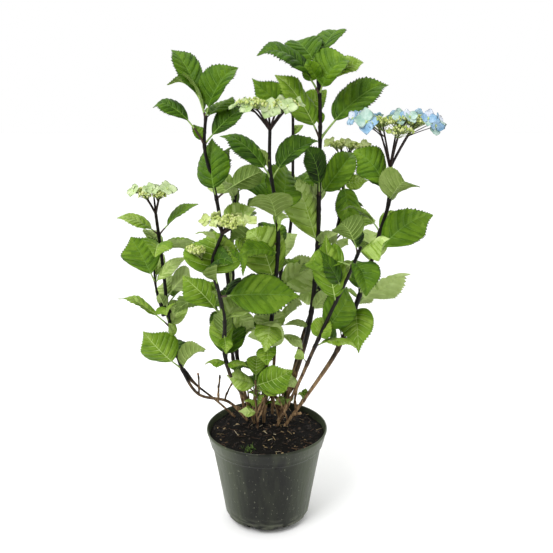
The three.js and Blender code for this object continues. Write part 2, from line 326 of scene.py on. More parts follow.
# A leaf's place: its stem node, its tip, its width and the way that its upper side looks.
# facing turns the upper side from the sky (0) to the best side (1), and roll turns it on.
def grownLeaf(run, height, bearing, rise, reach, width, facing, roll=0):
    seat, stem = stationAt(run, height / 1000)
    axis = heading(bearing, rise)
    upper = Vector((0, -facing, 1 - abs(facing)))
    upper = (upper - axis * upper.dot(axis)).normalized()
    upper = Matrix.Rotation(math.radians(roll), 3, axis) @ upper
    return {"start": seat, "stem": stem, "tip": seat + axis * (reach / 1000), "upper": upper,
            "width": width / 1000}


# small and big name the side veins' pairs and the step between rows of faces
blade = {"big": (7, 0.024), "small": (5, 0.045), "smallReach": 0.042, "firstVein": 0.04, "veins": 0.91,
         "sweep": 1.9, "veinCurve": 1.15, "columns": (0.12, 0.3, 0.5, 0.7, 0.88, 0.965, 1),
         "rib": 0.0008, "ribStep": 0.001, "veinHalf": 0.00042, "thick": 0.00038, "groove": 0.0004,
         "ridge": (0.0008, 0.00025), "quilt": 0.036, "tooth": 0.014, "tipFrom": 0.62, "waves": 1.4,
         "waveLag": 1.9, "hookFrom": 0.6,
         "traits": {"broad": (0.6, 0.85), "pointed": (0.7, 0.9), "fold": (10, 40), "droop": (0, 0.45),
                    "twist": (-38, 38), "wave": (0.02, 0.06), "arch": (0.1, 0.24), "lift": (0.04, 0.16),
                    "hook": (0.02, 0.16), "stalk": (0.12, 0.24), "phase": (0, 6.28)}}


# The rows of faces across a blade, from its stalk to its tip, as (place on the midrib,
# place on the margin, side of a vein, tooth), and how far each row swells between veins.
# The rows sweep forward as the side veins do.
def bladeRows(pairs, rowStep):
    power = 1 / blade["sweep"]
    step = blade["veins"] / pairs
    seats = [blade["firstVein"] + step * k for k in range(pairs)]
    marks = [0, *[seat ** power for seat in seats], 1]
    rows = [(0, 0, 0, 0)]
    for low, high in zip(marks, marks[1:]):
        count = 2 * round(((high - low) / rowStep - 1) / 2) + 1
        for k in range(1, count + 1):
            margin = mix(low, high, k / (count + 1))
            rows.append((margin ** blade["sweep"], margin, 0, 1 if k % 2 == 0 else -1))
        if high < 1:
            rows += [(high ** blade["sweep"], high, side, 1) for side in (-1, 1)]
    rows.append((1, 1, 0, 0))
    swell = [0.0] * len(rows)
    edges = [0, *seats, 1]
    for i, row in enumerate(rows):
        k = max(j for j, seat in enumerate(edges[:-1]) if row[0] >= seat - 1e-9)
        swell[i] = math.sin(math.pi * (row[0] - edges[k]) / (edges[k + 1] - edges[k])) if row[2] == 0 else 0
    return np.array(rows), np.array(swell)


bigRows, smallRows = bladeRows(*blade["big"]), bladeRows(*blade["small"])
sides = np.array([*[-c for c in reversed(blade["columns"])], -blade["ribStep"], blade["ribStep"],
                  *blade["columns"]])


# Deals a leaf its own shape: how broad, how folded, how wavy.
def dealLeaf(leaf, rng):
    for trait, limits in blade["traits"].items():
        leaf.setdefault(trait, rng.uniform(*limits))
    return leaf


# The corners of one side of a blade, as an array of rows, columns and places.
def bladeSpots(leaf, under):
    start, tip = np.array(leaf["start"]), np.array(leaf["tip"])
    reach = np.linalg.norm(tip - start)
    length = reach * (1 - leaf["stalk"])
    half = leaf["width"] / 2
    small = reach < blade["smallReach"]
    rows, swell = smallRows if small else bigRows
    middle, margin, side, tooth = (column[:, None] for column in rows.T)
    u = np.abs(sides)[None, :]
    ends = (margin > 0) & (margin < 1)
    inner = u < 0.01

    along = middle + (margin - middle) * u ** blade["veinCurve"]
    along = along + side * (blade["veinHalf"] / length) * (1 - u) * (0.7 if small else 1)
    outline = margin ** leaf["broad"] * (1 - margin) ** leaf["pointed"]
    outline = outline * (1 - 0.6 * eased(blade["tipFrom"], 1, margin))
    outline = outline / outline.max()
    teeth = tooth * blade["tooth"] * eased(0.08, 0.25, margin) * eased(1.0, 0.9, margin) * (u > 0.95)
    teeth = teeth * np.where(u > 0.99, 1, 0.35)
    along = np.clip(along + teeth * 0.8, 0, 1)
    ribHalf = np.minimum(blade["rib"] * (1 - 0.7 * margin) * reach / 0.09, 0.3 * half * outline)
    out = np.where(inner, ribHalf, u * half * outline + teeth * length * 0.9 * (outline > 0.05))
    x = np.sign(sides)[None, :] * out

    fold = math.sin(math.radians(leaf["fold"]))
    lift = out * fold * (1.1 - 0.35 * u) - leaf["droop"] * half * (out / half) ** 2
    lag = np.where(sides[None, :] > 0, 0, blade["waveLag"])
    lift = lift + leaf["wave"] * length * u ** 2 * np.sin(
        6.28 * blade["waves"] * along + leaf["phase"] + lag) * outline
    lift = lift + blade["quilt"] * length * swell[:, None] * np.sqrt(u) * (1 - 0.6 * u ** 4) * outline
    lift = lift - blade["groove"] * (inner | (side != 0)) * outline
    lift = lift - leaf["hook"] * length * eased(blade["hookFrom"], 1, along) ** 2
    if under:
        ribRidge, veinRidge = blade["ridge"]
        ridge = np.where(inner, ribRidge * (1 - 0.7 * margin), veinRidge * (side != 0) * (1 - u))
        lift = lift - (blade["thick"] * (1 - u ** 6) + ridge) * ends * (outline > 0.02)

    axis = (tip - start) / reach
    upper = np.array(leaf["upper"])
    bend = (start + tip) / 2 + (upper * leaf["arch"] + np.array(up) * leaf["lift"]) * reach
    t = (leaf["stalk"] + (1 - leaf["stalk"]) * along)[..., None]
    spine = (1 - t) ** 2 * start + 2 * t * (1 - t) * bend + t ** 2 * tip
    tangent = 2 * (1 - t) * (bend - start) + 2 * t * (tip - bend)
    tangent = tangent / np.linalg.norm(tangent, axis=2, keepdims=True)
    normal = np.cross(np.cross(axis, upper), tangent)
    normal = normal / np.linalg.norm(normal, axis=2, keepdims=True)
    across = np.cross(tangent, normal)
    turn = np.radians(leaf["twist"]) * (along - 0.2)[..., None]
    sideways = across * np.cos(turn) + normal * np.sin(turn)
    raised = normal * np.cos(turn) - across * np.sin(turn)
    return spine + sideways * (x * ends)[..., None] + raised * lift[..., None], rows, swell


# Greens from the deepest, a, to the palest, i, then the undersides, the veins and the thin
# rim of a dark leaf. under4 is the brown underside of leaves that curl. The green and the
# underside green that each leaf is dealt are partly its own tone and partly painted light and
# shade: the deep greens are painted shade on leaves that lie in shade, and the pale greens are
# painted light on leaves that the light falls on or shines through.
leafTints = {
    "a": ((15, 32, 3), (26, 48, 4)),
    "b": ((32, 58, 4), (46, 76, 6)),
    "c": ((50, 82, 7), (64, 98, 10)),
    "d": ((64, 98, 10), (80, 114, 15)),
    "e": ((78, 112, 15), (96, 130, 23)),
    "f": ((94, 127, 25), (112, 144, 38)),
    "g": ((114, 143, 42), (134, 162, 60)),
    "h": ((136, 162, 74), (156, 182, 94)),
    "i": ((166, 188, 106), (188, 208, 132)),
    "under1": ((92, 116, 46), (110, 134, 62)),
    "under2": ((114, 136, 62), (132, 152, 80)),
    "under3": ((154, 174, 100), (174, 194, 124)),
    "under4": ((98, 74, 50), (124, 98, 64)),
    "veinDeep": ((92, 128, 44), (110, 144, 58)),
    "veinPale": ((160, 184, 100), (176, 198, 118)),
    "edge": ((40, 58, 18), (54, 76, 24)),
}
tintNames = list(leafTints)
leafMaterials = [mottled("leaf_" + name, *pair, patch=70, grain=260, rough=(0.38, 0.58), depth=0.0006,
                         gloss=0.14) for name, pair in leafTints.items()]

# How the faces of a blade wander from its own green to the next ones: in patches at random,
# between the veins, where the faces beside a vein take painted shade and the bulges between
# veins take painted light, and along its length, with painted shade at the base and painted
# light towards the tip. Greens before pale count as dark.
leafWander = {"patch": 1.5, "quilt": (-0.35, 0.25), "length": (-0.8, 0.8), "greens": 9, "pale": 5}


def addLeaf(target, leaf):
    own = tintNames.index(leaf["tint"])
    top, rows, swell = bladeSpots(leaf, False)
    below = bladeSpots(leaf, True)[0]
    across, along = len(sides) - 1, len(rows) - 1
    vein = [rows[r][2] < 0 and rows[r + 1][2] > 0 for r in range(along)]
    deep, pale = own < leafWander["pale"], tintNames.index("veinPale")
    fine = tintNames.index("veinDeep") if deep else pale
    edge = tintNames.index("edge") if deep else own
    under = tintNames.index("under" + leaf["back"])

    def onVein(row, column):
        return column == across // 2 or (vein[row] and 1 < column < across - 2)

    def paintTop(row, column):
        if column in (0, across - 1):
            return edge
        if onVein(row, column):
            return fine
        shade = noise.noise(Vector((row * 0.1, column * 0.2, leaf["phase"] * 9))) * leafWander["patch"]
        # painted shade beside the veins and at the base, painted light on the bulges and towards the tip
        shade += mix(*leafWander["quilt"], swell[row]) + mix(*leafWander["length"], rows[row][0])
        return min(max(round(own + shade), 0), leafWander["greens"] - 1)

    def paintBelow(row, column):
        return pale if onVein(row, column) else under

    addGrid(target, across, along, lambda r, c: top[r, c], paintTop)
    addGrid(target, across, along, lambda r, c: below[r, c], paintBelow, flip=True)


stalkMake = {"stations": 12, "sides": 8, "foot": 0.5, "into": 0.03, "thin": 0.0006, "thicken": 0.009,
             "flare": 0.5, "fade": 8, "taper": 0.25, "sink": 0.0006, "dark": [0, 3, 5, 8]}


# The stalk of a leaf, from the skin of the stem into the foot of the blade. Its first
# faces, as many as dark says, are brown.
def addStalk(target, leaf, dark):
    start, tip = leaf["start"], leaf["tip"]
    reach = (tip - start).length
    bend = (start + tip) / 2 + (leaf["upper"] * leaf["arch"] + up * leaf["lift"]) * reach
    thick = stalkMake["thin"] + stalkMake["thicken"] * reach
    stations = []
    for k in range(stalkMake["stations"] + 1):
        share = k / stalkMake["stations"]
        t = mix(stalkMake["foot"] * leaf["stem"] / reach, leaf["stalk"] + stalkMake["into"], share)
        flare = 1 + stalkMake["flare"] * math.exp(-share * stalkMake["fade"]) - stalkMake["taper"] * share
        spot = curved(start, bend, tip, t) - leaf["upper"] * (stalkMake["sink"] * share)
        stations.append((spot, thick * flare))
    addTube(target, stations, stalkMake["sides"], paint=lambda row: 0 if row < dark else 1)


# The leaves of each cane. First the place: the height of the stem node, the bearing and
# rise of the tip, the reach, width, facing and roll. Then the tints of its two sides, which
# hold painted light and shade as well as the leaf's own tone, then the blade's fold, twist
# and phase in degrees, and its other traits in hundredths.
rowTraits = ("arch", "lift", "droop", "hook", "stalk", "broad", "pointed", "wave")
leafRows = {
    "left": [
        ((452, -168, 25, 66, 43, 0.2, 1), "g2", (15, 9, 341), (19, 8, 20, 1, 20, 60, 89, 1)),
        ((452, 17, 35, 75, 44, 0.1, -1), "e2", (22, 2, 31), (11, 8, 8, -2, 24, 83, 70, 1)),
        ((432, -85, 2, 92, 42, -0.1, -8), "f2", (31, 16, 148), (15, 8, 12, 0, 20, 81, 66, 2)),
        ((425, -11, 18, 64, 43, -0.2, -15), "f3", (22, -6, 265), (16, 12, 49, 15, 9, 75, 95, 5)),
        ((425, 135, 38, 52, 30, 0.2, 10), "i3", (19, -23, 111), (16, 16, 24, 5, 12, 64, 66, 2)),
        ((355, -25, 46, 66, 42, -0.8, -27), "d3", (48, 48, 218), (12, 13, 25, 5, 21, 93, 95, 1)),
        ((355, 98, 24, 53, 38, 0.6, -14), "i3", (0, 41, 57), (12, 4, 6, 1, 10, 79, 95, 4)),
        ((309, -179, 35, 92, 35, 0.2, 1), "g2", (11, -42, 142), (6, 9, 8, 10, 28, 94, 68, 4)),
        ((309, 63, 40, 53, 33, 0.6, 6), "i3", (35, 38, 358), (34, 8, 0, 6, 8, 60, 95, 5)),
        ((290, -103, 60, 36, 16, 0.4, -6), "g2", (26, 9, 15), (34, 15, 30, -6, 23, 79, 66, 3)),
        ((244, -162, 50, 87, 58, 0.8, -18), "f2", (1, -42, 196), (19, 1, 53, 9, 25, 64, 88, 4)),
        ((244, -25, 40, 55, 37, -0.3, 0), "f2", (48, 60, 97), (22, 12, 0, -6, 8, 70, 83, 3))],
    "left_shoot": [
        ((382, 90, 36, 62, 23, 0.8, 14), "i3", (39, 60, 105), (16, 0, 8, 10, 19, 85, 96, 2)),
        ((382, -149, 65, 80, 59, 0.9, -8), "e2", (1, -25, 10), (11, 15, 33, -2, 16, 91, 82, 1)),
        ((382, 2, 40, 63, 21, 0.3, 17), "i3", (23, -25, 115), (15, 2, 48, 10, 8, 69, 81, 4)),
        ((336, -101, 54, 40, 16, -0.6, 0), "d3", (33, -19, 60), (16, 2, 19, -5, 8, 79, 75, 5)),
        ((325, -80, 14, 55, 34, 0.2, 0), "f2", (22, -57, 325), (18, 21, 31, 0, 17, 89, 71, 1))],
    "mid_left": [
        ((618, 176, 45, 78, 42, 0.3, 32), "e1", (34, -25, 321), (34, 10, 3, 13, 11, 76, 74, 1)),
        ((618, 9, 58, 90, 56, 0.5, -9), "d2", (48, 3, 202), (28, 0, 13, 9, 17, 95, 79, 5)),
        ((618, 55, 25, 70, 46, 0.1, 1), "e2", (34, 32, 9), (7, 0, 60, 0, 11, 71, 66, 1)),
        ((618, 163, 62, 110, 44, 0.4, 0), "d2", (25, -33, 49), (12, 23, 15, 1, 23, 94, 89, 1)),
        ((580, 179, 38, 97, 33, 0.5, 3), "c1", (24, -18, 359), (15, 28, 40, 12, 32, 89, 67, 1)),
        ((580, 20, 40, 98, 43, 0.5, 0), "c1", (14, 41, 65), (15, 2, 0, 23, 18, 85, 80, 2)),
        ((577, 138, 52, 39, 22, 0.3, -6), "e2", (48, -49, 79), (30, 0, 21, -5, 24, 60, 76, 1)),
        ((502, -14, 29, 91, 36, -0.7, -17), "b1", (29, 15, 287), (10, 11, 0, 22, 32, 62, 98, 2)),
        ((502, 98, 71, 90, 58, 0.4, -22), "d2", (23, 19, 326), (33, 0, 59, -6, 16, 60, 84, 1)),
        ((349, 120, 68, 56, 25, -0.3, -6), "b3", (13, -30, 113), (15, 1, 15, -6, 21, 78, 78, 1)),
        ((331, -25, -40, 51, 31, 0.6, 10), "i3", (7, -23, 284), (0, 0, 23, 20, 17, 60, 67, 6)),
        ((331, 115, -4, 77, 48, 0.5, -2), "e2", (19, -7, 353), (11, 9, 15, -3, 15, 60, 100, 4)),
        ((264, -24, 54, 49, 25, 0.1, 26), "h3", (32, 18, 64), (13, 6, 19, -4, 18, 81, 81, 2))],
    "back_left": [
        ((503, 15, 9, 73, 55, 0.5, 0), "d2", (22, -6, 58), (14, 8, 58, -5, 17, 88, 84, 6)),
        ((503, 147, 14, 58, 43, 0.3, -30), "i3", (48, -32, 257), (19, 0, 37, 23, 9, 63, 69, 2)),
        ((490, -116, 53, 46, 23, -0.3, -1), "i3", (10, 49, 42), (13, 7, 2, 24, 15, 60, 72, 6)),
        ((431, -29, 50, 71, 56, 0.7, -26), "h3", (35, 8, 191), (27, 8, 0, 5, 17, 63, 100, 1)),
        ((431, -19, -26, 55, 33, 0.7, 2), "g2", (42, -13, 333), (16, 17, 30, 23, 14, 65, 76, 4)),
        ((329, 31, 13, 76, 62, 0.6, 15), "i3", (33, 3, 299), (10, 0, 8, 21, 9, 61, 79, 1)),
        ((329, 104, -1, 60, 50, 0.7, -13), "f2", (21, 10, 318), (22, 0, 60, 5, 17, 84, 98, 4))],
    "front": [
        ((465, -166, 24, 34, 17, -0.1, 31), "f3", (22, 46, 166), (18, 0, 21, 11, 18, 67, 78, 1)),
        ((442, -44, -11, 67, 23, -0.4, -6), "e2", (16, -27, 331), (33, 20, 38, 20, 15, 60, 66, 4)),
        ((379, 4, -1, 112, 57, 0.68, 0), "e2", (18, -14, 175), (12, 4, 30, 3, 12, 75, 81, 5)),
        ((401, 80, 84, 70, 78, 1, 0), "f2", (48, 49, 117), (33, 5, 16, -6, 18, 78, 98, 2)),
        ((396, -74, 45, 78, 46, 0.4, 34), "b2", (33, 23, 201), (13, 18, 0, 24, 12, 95, 69, 4)),
        ((372, -140, 43, 24, 13, -0.3, 5), "b1", (22, -2, 236), (18, 30, 0, -6, 8, 60, 82, 1)),
        ((338, -167, 50, 90, 41, 0.6, 0), "f2", (44, 60, 60), (6, 13, 0, 4, 24, 95, 67, 1)),
        ((338, 62, 8, 70, 47, 0.3, 15), "i3", (33, 29, 96), (21, 18, 22, -6, 9, 67, 96, 3)),
        ((316, -82, -14, 44, 21, 0.5, 0), "f2", (23, 28, 29), (15, 0, 29, 9, 21, 79, 72, 1)),
        ((310, -92, 63, 58, 27, -0.2, 0), "d1", (48, -32, 157), (15, 0, 0, -6, 10, 65, 100, 6)),
        ((281, 132, 73, 70, 37, 0.2, -1), "g2", (11, 45, 111), (21, 15, 60, 22, 13, 60, 100, 3)),
        ((265, -165, 8, 34, 25, 0.12, 4), "g4", (35, -10, 254), (4, 5, 60, 9, 8, 60, 94, 6)),
        ((265, -20, 8, 33, 25, 0.1, -4), "g4", (32, -6, 186), (3, 0, 60, 16, 8, 62, 89, 6))],
    "middle": [
        ((537, 172, 63, 47, 22, -0.2, -2), "b2", (16, -50, 26), (15, 4, 16, 1, 18, 83, 91, 2)),
        ((536, 176, 43, 98, 41, 0.4, 2), "c1", (19, -11, 212), (25, 3, 44, 10, 19, 60, 66, 1)),
        ((536, 9, 38, 84, 45, 0.4, -1), "c1", (48, 14, 75), (23, 14, 23, -1, 19, 60, 66, 1)),
        ((474, -107, 41, 70, 62, -0.4, 0), "f2", (28, -1, 336), (24, 8, 47, 0, 13, 82, 68, 5)),
        ((474, 81, 54, 96, 65, 1.1, 22), "e2", (0, -35, 27), (31, 8, 11, -3, 19, 62, 66, 1)),
        ((452, -45, 66, 39, 28, 0.3, 0), "h3", (31, -6, 110), (26, 27, 17, 24, 16, 76, 66, 6)),
        ((427, -144, 6, 71, 35, 0.4, 0), "e2", (16, 19, 53), (12, 8, 0, 24, 8, 60, 66, 6)),
        ((378, -162, 66, 96, 70, 0.7, 7), "g2", (0, -17, 261), (9, 29, 0, 13, 10, 66, 69, 1)),
        ((378, 56, -39, 73, 45, 0.3, 9), "i3", (13, 20, 69), (25, 9, 30, 24, 23, 96, 66, 1)),
        ((301, -94, 0, 73, 41, 0.8, 3), "g2", (0, 9, 294), (34, 30, 13, 12, 32, 67, 66, 6)),
        ((300, -11, -17, 57, 24, 0.6, -35), "i3", (11, 1, 21), (27, 0, 30, 16, 32, 95, 66, 1)),
        ((300, 96, 55, 44, 49, 0.6, 11), "i3", (42, 15, 98), (15, 1, 51, -6, 14, 72, 81, 6)),
        ((277, -102, 57, 71, 55, -0.7, -18), "d3", (1, -60, 315), (11, 3, 28, 10, 8, 60, 85, 1)),
        ((277, -93, -27, 34, 31, 0, 5), "f2", (48, -18, 188), (17, 30, 12, 5, 11, 98, 66, 2))],
    "back": [
        ((623, -171, 38, 85, 49, 0.7, -22), "e2", (17, 36, 88), (0, 0, 28, 7, 14, 60, 96, 1)),
        ((623, 4, 36, 63, 41, 0.8, 35), "f2", (36, 7, 317), (34, 0, 55, -6, 16, 60, 66, 2)),
        ((588, 57, 35, 34, 18, 0.4, -6), "g2", (23, 18, 166), (17, 8, 7, 1, 13, 77, 86, 1)),
        ((491, 55, 28, 85, 47, 0.7, -15), "e2", (16, 38, 258), (7, 24, 60, -6, 13, 62, 77, 6)),
        ((491, 116, 8, 82, 56, 0.5, 0), "h3", (28, -12, 130), (16, 24, 2, -1, 15, 72, 81, 4)),
        ((393, -20, 64, 54, 41, 0.3, 0), "i3", (17, -5, 242), (30, 5, 0, 5, 15, 83, 77, 1)),
        ((353, -7, 33, 84, 59, 0.9, 3), "i3", (48, 14, 343), (15, 0, 35, -6, 9, 73, 66, 2)),
        ((297, -42, 35, 54, 32, 0.4, 0), "i3", (22, 9, 93), (12, 8, 19, -2, 23, 66, 76, 1))],
    "tall": [
        ((691, 51, 43, 86, 52, 0.3, -21), "d2", (14, -11, 262), (15, 3, 12, 14, 21, 61, 75, 1)),
        ((691, 132, 38, 60, 58, 0.6, -13), "d2", (26, -58, 92), (19, 10, 22, 3, 12, 60, 66, 5)),
        ((669, -155, 56, 38, 29, 0.5, -50), "e2", (48, -17, 3), (16, 12, 0, 20, 14, 60, 91, 1)),
        ((662, 9, 27, 72, 39, 0.3, 17), "g2", (48, -5, 243), (22, 9, 31, -4, 22, 73, 74, 3)),
        ((652, -165, 31, 109, 65, 0.5, 20), "c1", (48, -8, 57), (17, 24, 60, 6, 18, 95, 76, 4)),
        ((652, -15, 50, 70, 67, 0.6, -19), "e2", (29, 14, 249), (34, 8, 0, 15, 15, 88, 84, 3)),
        ((605, 103, 72, 25, 15, 0.5, 6), "f2", (15, 0, 334), (18, 3, 8, -6, 11, 82, 69, 1)),
        ((588, 14, 38, 136, 53, 0.5, -8), "d2", (35, -21, 16), (12, 11, 24, 9, 22, 60, 100, 1)),
        ((588, -171, 55, 113, 50, 0.4, 0), "f2", (20, 9, 54), (10, 9, 40, 6, 18, 60, 79, 6)),
        ((506, -132, 63, 85, 38, 0.6, 14), "b2", (0, 23, 124), (28, 29, 1, -6, 18, 63, 87, 3)),
        ((506, 18, 51, 92, 41, 0.5, 25), "e2", (46, 21, 267), (13, 0, 0, 19, 13, 60, 69, 1)),
        ((487, 66, 72, 62, 37, -0.3, 0), "b3", (6, -27, 43), (16, 8, 24, 23, 15, 76, 71, 2)),
        ((434, -167, 71, 106, 60, 0.7, 8), "h3", (3, -14, 121), (0, 7, 60, -6, 8, 90, 66, 4)),
        ((434, -64, 25, 63, 29, -0.7, 4), "f3", (48, 60, 161), (0, 1, 60, -2, 15, 60, 100, 3)),
        ((331, -22, 50, 49, 24, -0.6, -10), "h3", (0, 60, 266), (5, 7, 45, -4, 13, 60, 66, 1)),
        ((310, -160, 5, 45, 25, 0.6, 35), "i3", (15, -60, 272), (0, 6, 4, -1, 8, 62, 69, 1)),
        ((187, -130, 2, 28, 15, 0.6, -20), "h3", (15, -17, 143), (3, 5, 0, 8, 18, 60, 68, 5)),
        ((226, -118, -12, 30, 27, 0.8, 10), "i3", (14, 12, 60), (12, 4, 20, 6, 14, 60, 70, 5))],
    "front_right": [
        ((442, -144, 55, 53, 44, -0.3, 12), "f1", (34, -32, 254), (29, 15, 0, -4, 28, 70, 69, 3)),
        ((442, -24, 35, 49, 47, -0.2, 35), "h3", (0, -16, 81), (9, 1, 60, 14, 17, 76, 98, 6)),
        ((428, -62, -50, 50, 39, 0.2, -5), "d2", (47, -20, 114), (34, 23, 0, 7, 8, 74, 67, 5)),
        ((428, 97, -43, 37, 24, 0.3, 1), "f2", (39, 29, 161), (34, 30, 42, 14, 10, 86, 73, 1)),
        ((424, 144, -5, 80, 52, 0.4, -7), "f2", (34, -12, 339), (14, 8, 20, 9, 16, 66, 71, 6)),
        ((389, -150, 56, 74, 30, 0.5, -2), "c1", (15, -43, 268), (17, 1, 32, -3, 18, 60, 91, 1)),
        ((369, 176, 79, 96, 47, 0.7, -12), "f2", (24, -43, 46), (22, 0, 60, -6, 8, 67, 93, 1)),
        ((308, 14, 54, 91, 56, 0.6, 20), "e2", (2, -42, 141), (28, 2, 20, 18, 22, 75, 66, 1)),
        ((308, 21, 69, 40, 31, 0.6, 1), "g2", (45, 37, 52), (34, 0, 0, 18, 9, 60, 100, 4)),
        ((294, -29, 9, 68, 36, 0.1, -5), "g2", (18, 12, 311), (24, 4, 29, 4, 13, 77, 79, 4)),
        ((264, 170, 38, 26, 16, 0.7, -6), "h3", (30, 9, 264), (33, 30, 5, 24, 26, 98, 66, 6))],
    "right": [
        ((504, 173, 53, 85, 49, 0.4, -12), "e2", (0, 60, 93), (24, 19, 32, -6, 19, 90, 66, 1)),
        ((504, -74, 33, 66, 55, 0.3, -21), "e2", (31, 60, 151), (13, 2, 0, 11, 8, 63, 69, 1)),
        ((498, 51, 23, 33, 16, -0.4, -35), "f2", (22, 19, 100), (10, 1, 6, -6, 20, 66, 74, 3)),
        ((443, 30, 37, 68, 41, 0.4, -1), "g2", (3, -13, 165), (16, 13, 20, 24, 18, 71, 81, 3)),
        ((411, -119, 49, 52, 29, -0.2, 2), "h1", (24, 51, 201), (21, 14, 33, -2, 8, 77, 68, 1)),
        ((411, -15, 41, 114, 65, 0.8, 9), "e2", (13, -55, 20), (0, 30, 0, 0, 20, 84, 66, 4)),
        ((411, 91, 37, 65, 52, 0.1, 17), "i3", (15, 12, 58), (20, 11, 0, -5, 8, 60, 81, 2)),
        ((370, 18, 2, 31, 17, -0.5, -5), "f2", (34, 56, 42), (14, 8, 0, 2, 9, 87, 66, 3)),
        ((353, 80, -17, 79, 44, -0.1, 0), "g3", (22, -60, 273), (22, 0, 0, 8, 18, 89, 66, 6)),
        ((343, -84, -60, 68, 53, 0.8, 23), "f2", (27, 18, 229), (0, 30, 17, -6, 8, 60, 95, 2)),
        ((343, -25, 40, 103, 68, -0.5, 0), "i3", (0, -57, 354), (29, 0, 60, 7, 16, 77, 66, 3))],
    "back_right": [
        ((512, -69, -72, 91, 46, 0.6, -18), "e2", (26, 14, 358), (1, 30, 26, 24, 17, 70, 80, 5)),
        ((512, -15, 10, 42, 26, 0.5, 35), "g2", (8, -60, 160), (27, 0, 19, -2, 8, 66, 94, 3)),
        ((423, -35, -8, 27, 23, 0, 26), "i3", (9, -58, 213), (15, 12, 52, -6, 22, 67, 93, 4)),
        ((423, 30, 20, 90, 49, 0.4, 0), "g2", (44, -4, 288), (19, 14, 15, 5, 18, 67, 73, 3)),
        ((347, -160, -17, 42, 31, 0.5, -39), "i3", (0, -60, 243), (26, 1, 58, 0, 17, 98, 90, 1))],
    "low": [
        ((224, -160, 27, 50, 34, 0.3, -8), "h3", (24, 46, 92), (5, 4, 60, 8, 9, 60, 86, 3)),
        ((224, -16, 27, 66, 46, 0.7, 15), "f2", (34, -14, 189), (20, 0, 30, 7, 8, 81, 66, 4)),
        ((224, 83, 68, 46, 32, 0.5, -2), "f2", (33, -39, 13), (0, 30, 33, 6, 22, 95, 66, 5)),
        ((215, -3, 4, 42, 24, 0.7, -18), "g2", (25, 20, 193), (16, 0, 18, 6, 22, 85, 71, 6)),
        ((176, -160, 10, 30, 17, 0.5, 9), "i3", (12, -21, 254), (10, 0, 20, -6, 9, 60, 71, 6))],
}


def rowLeaf(run, place, letters, turns, traits):
    leaf = grownLeaf(run, *place)
    leaf["tint"], leaf["back"] = letters
    leaf["fold"], leaf["twist"] = turns[:2]
    leaf["phase"] = math.radians(turns[2])
    leaf.update({name: value / 100 for name, value in zip(rowTraits, traits)})
    return leaf


leaves = {key: [rowLeaf(run, *row) for row in leafRows.get(key, [])] for key, run in canes.items()}
print(len(canes), "canes and", sum(map(len, leaves.values())), "leaves of their own")

# Young pairs of leaves low on the canes: height, bearing, reach.
youngPairs = {
    "low": [(204, 40, 24), (184, 200, 26)],
    "front_right": [(186, 70, 20)],
    "middle": [(176, 150, 18), (190, 20, 16)],
    "right": [(192, 60, 22)],
    "front": [(178, 250, 18)],
    "tall": [(186, 290, 20)],
}
youngMake = {"turn": (-15, 15), "rise": (25, 60), "reach": (0.85, 1.1), "width": (0.42, 0.52), "facing": 0.3,
             "tints": "fghd", "back": "2", "fold": (18, 38)}

# Leaves on the far side, where the foliage in front hides them from the best side: how
# many are tried and kept on each cane, the least share of a leaf that has to be hidden,
# and the greatest share that may be in room that other leaves fill.
farLeaves = {"bare": ("old", "left_shoot"), "tries": 46, "kept": 7, "hidden": 0.9, "crossed": 0.04,
             "cell": 0.006, "room": 0.007, "margin": 0.004, "bearing": (25, 155), "rise": (-10, 55),
             "reach": (0.055, 0.095), "width": (0.48, 0.62), "sky": (0, 0.35, 0.8), "lean": 0.3,
             "tints": "ddbf", "back": "1"}


# the cell that a spot hides in, seen from the best side
def cellOf(spot):
    share = -eye.y / (spot[1] - eye.y)
    x, z = eye.x + (spot[0] - eye.x) * share, eye.z + (spot[2] - eye.z) * share
    return (round(x / farLeaves["cell"]), round(z / farLeaves["cell"]))


def roomOf(spot):
    return tuple(round(part / farLeaves["room"]) for part in spot)


def farLeaf(run, rng):
    seat, stem = run[rng.randrange(len(run) // 4, len(run) - 4)]
    reach = rng.uniform(*farLeaves["reach"])
    bearing = rng.uniform(*farLeaves["bearing"])
    axis = heading(bearing, rng.uniform(*farLeaves["rise"]))
    upper = Vector(farLeaves["sky"]) + heading(bearing, 0) * farLeaves["lean"]
    upper = (upper - axis * upper.dot(axis)).normalized()
    return dealLeaf({"start": seat, "stem": stem, "tip": seat + axis * reach, "upper": upper,
                     "width": reach * rng.uniform(*farLeaves["width"]),
                     "tint": rng.choice(farLeaves["tints"]), "back": farLeaves["back"]}, rng)


def growFarLeaves(rng):
    covered, filled = set(), set()
    for found in leaves.values():
        for leaf in found:
            spots = bladeSpots(leaf, False)[0].reshape(-1, 3)
            covered.update(map(cellOf, spots))
            filled.update(map(roomOf, spots))
    low = np.array(cadBox[0]) - farLeaves["margin"]
    high = np.array(cadBox[1]) + farLeaves["margin"]
    for key, run in canes.items():
        kept = 0
        for _ in range(farLeaves["tries"]):
            if key in farLeaves["bare"] or kept == farLeaves["kept"]:
                break
            leaf = farLeaf(run, rng)
            spots = bladeSpots(leaf, False)[0].reshape(-1, 3)
            inside = (spots > low).all() and (spots < high).all()
            hidden = sum(cellOf(spot) in covered for spot in spots) / len(spots)
            crossed = sum(roomOf(spot) in filled for spot in spots) / len(spots)
            if inside and hidden > farLeaves["hidden"] and crossed < farLeaves["crossed"]:
                kept += 1
                filled.update(map(roomOf, spots))
                yield key, leaf


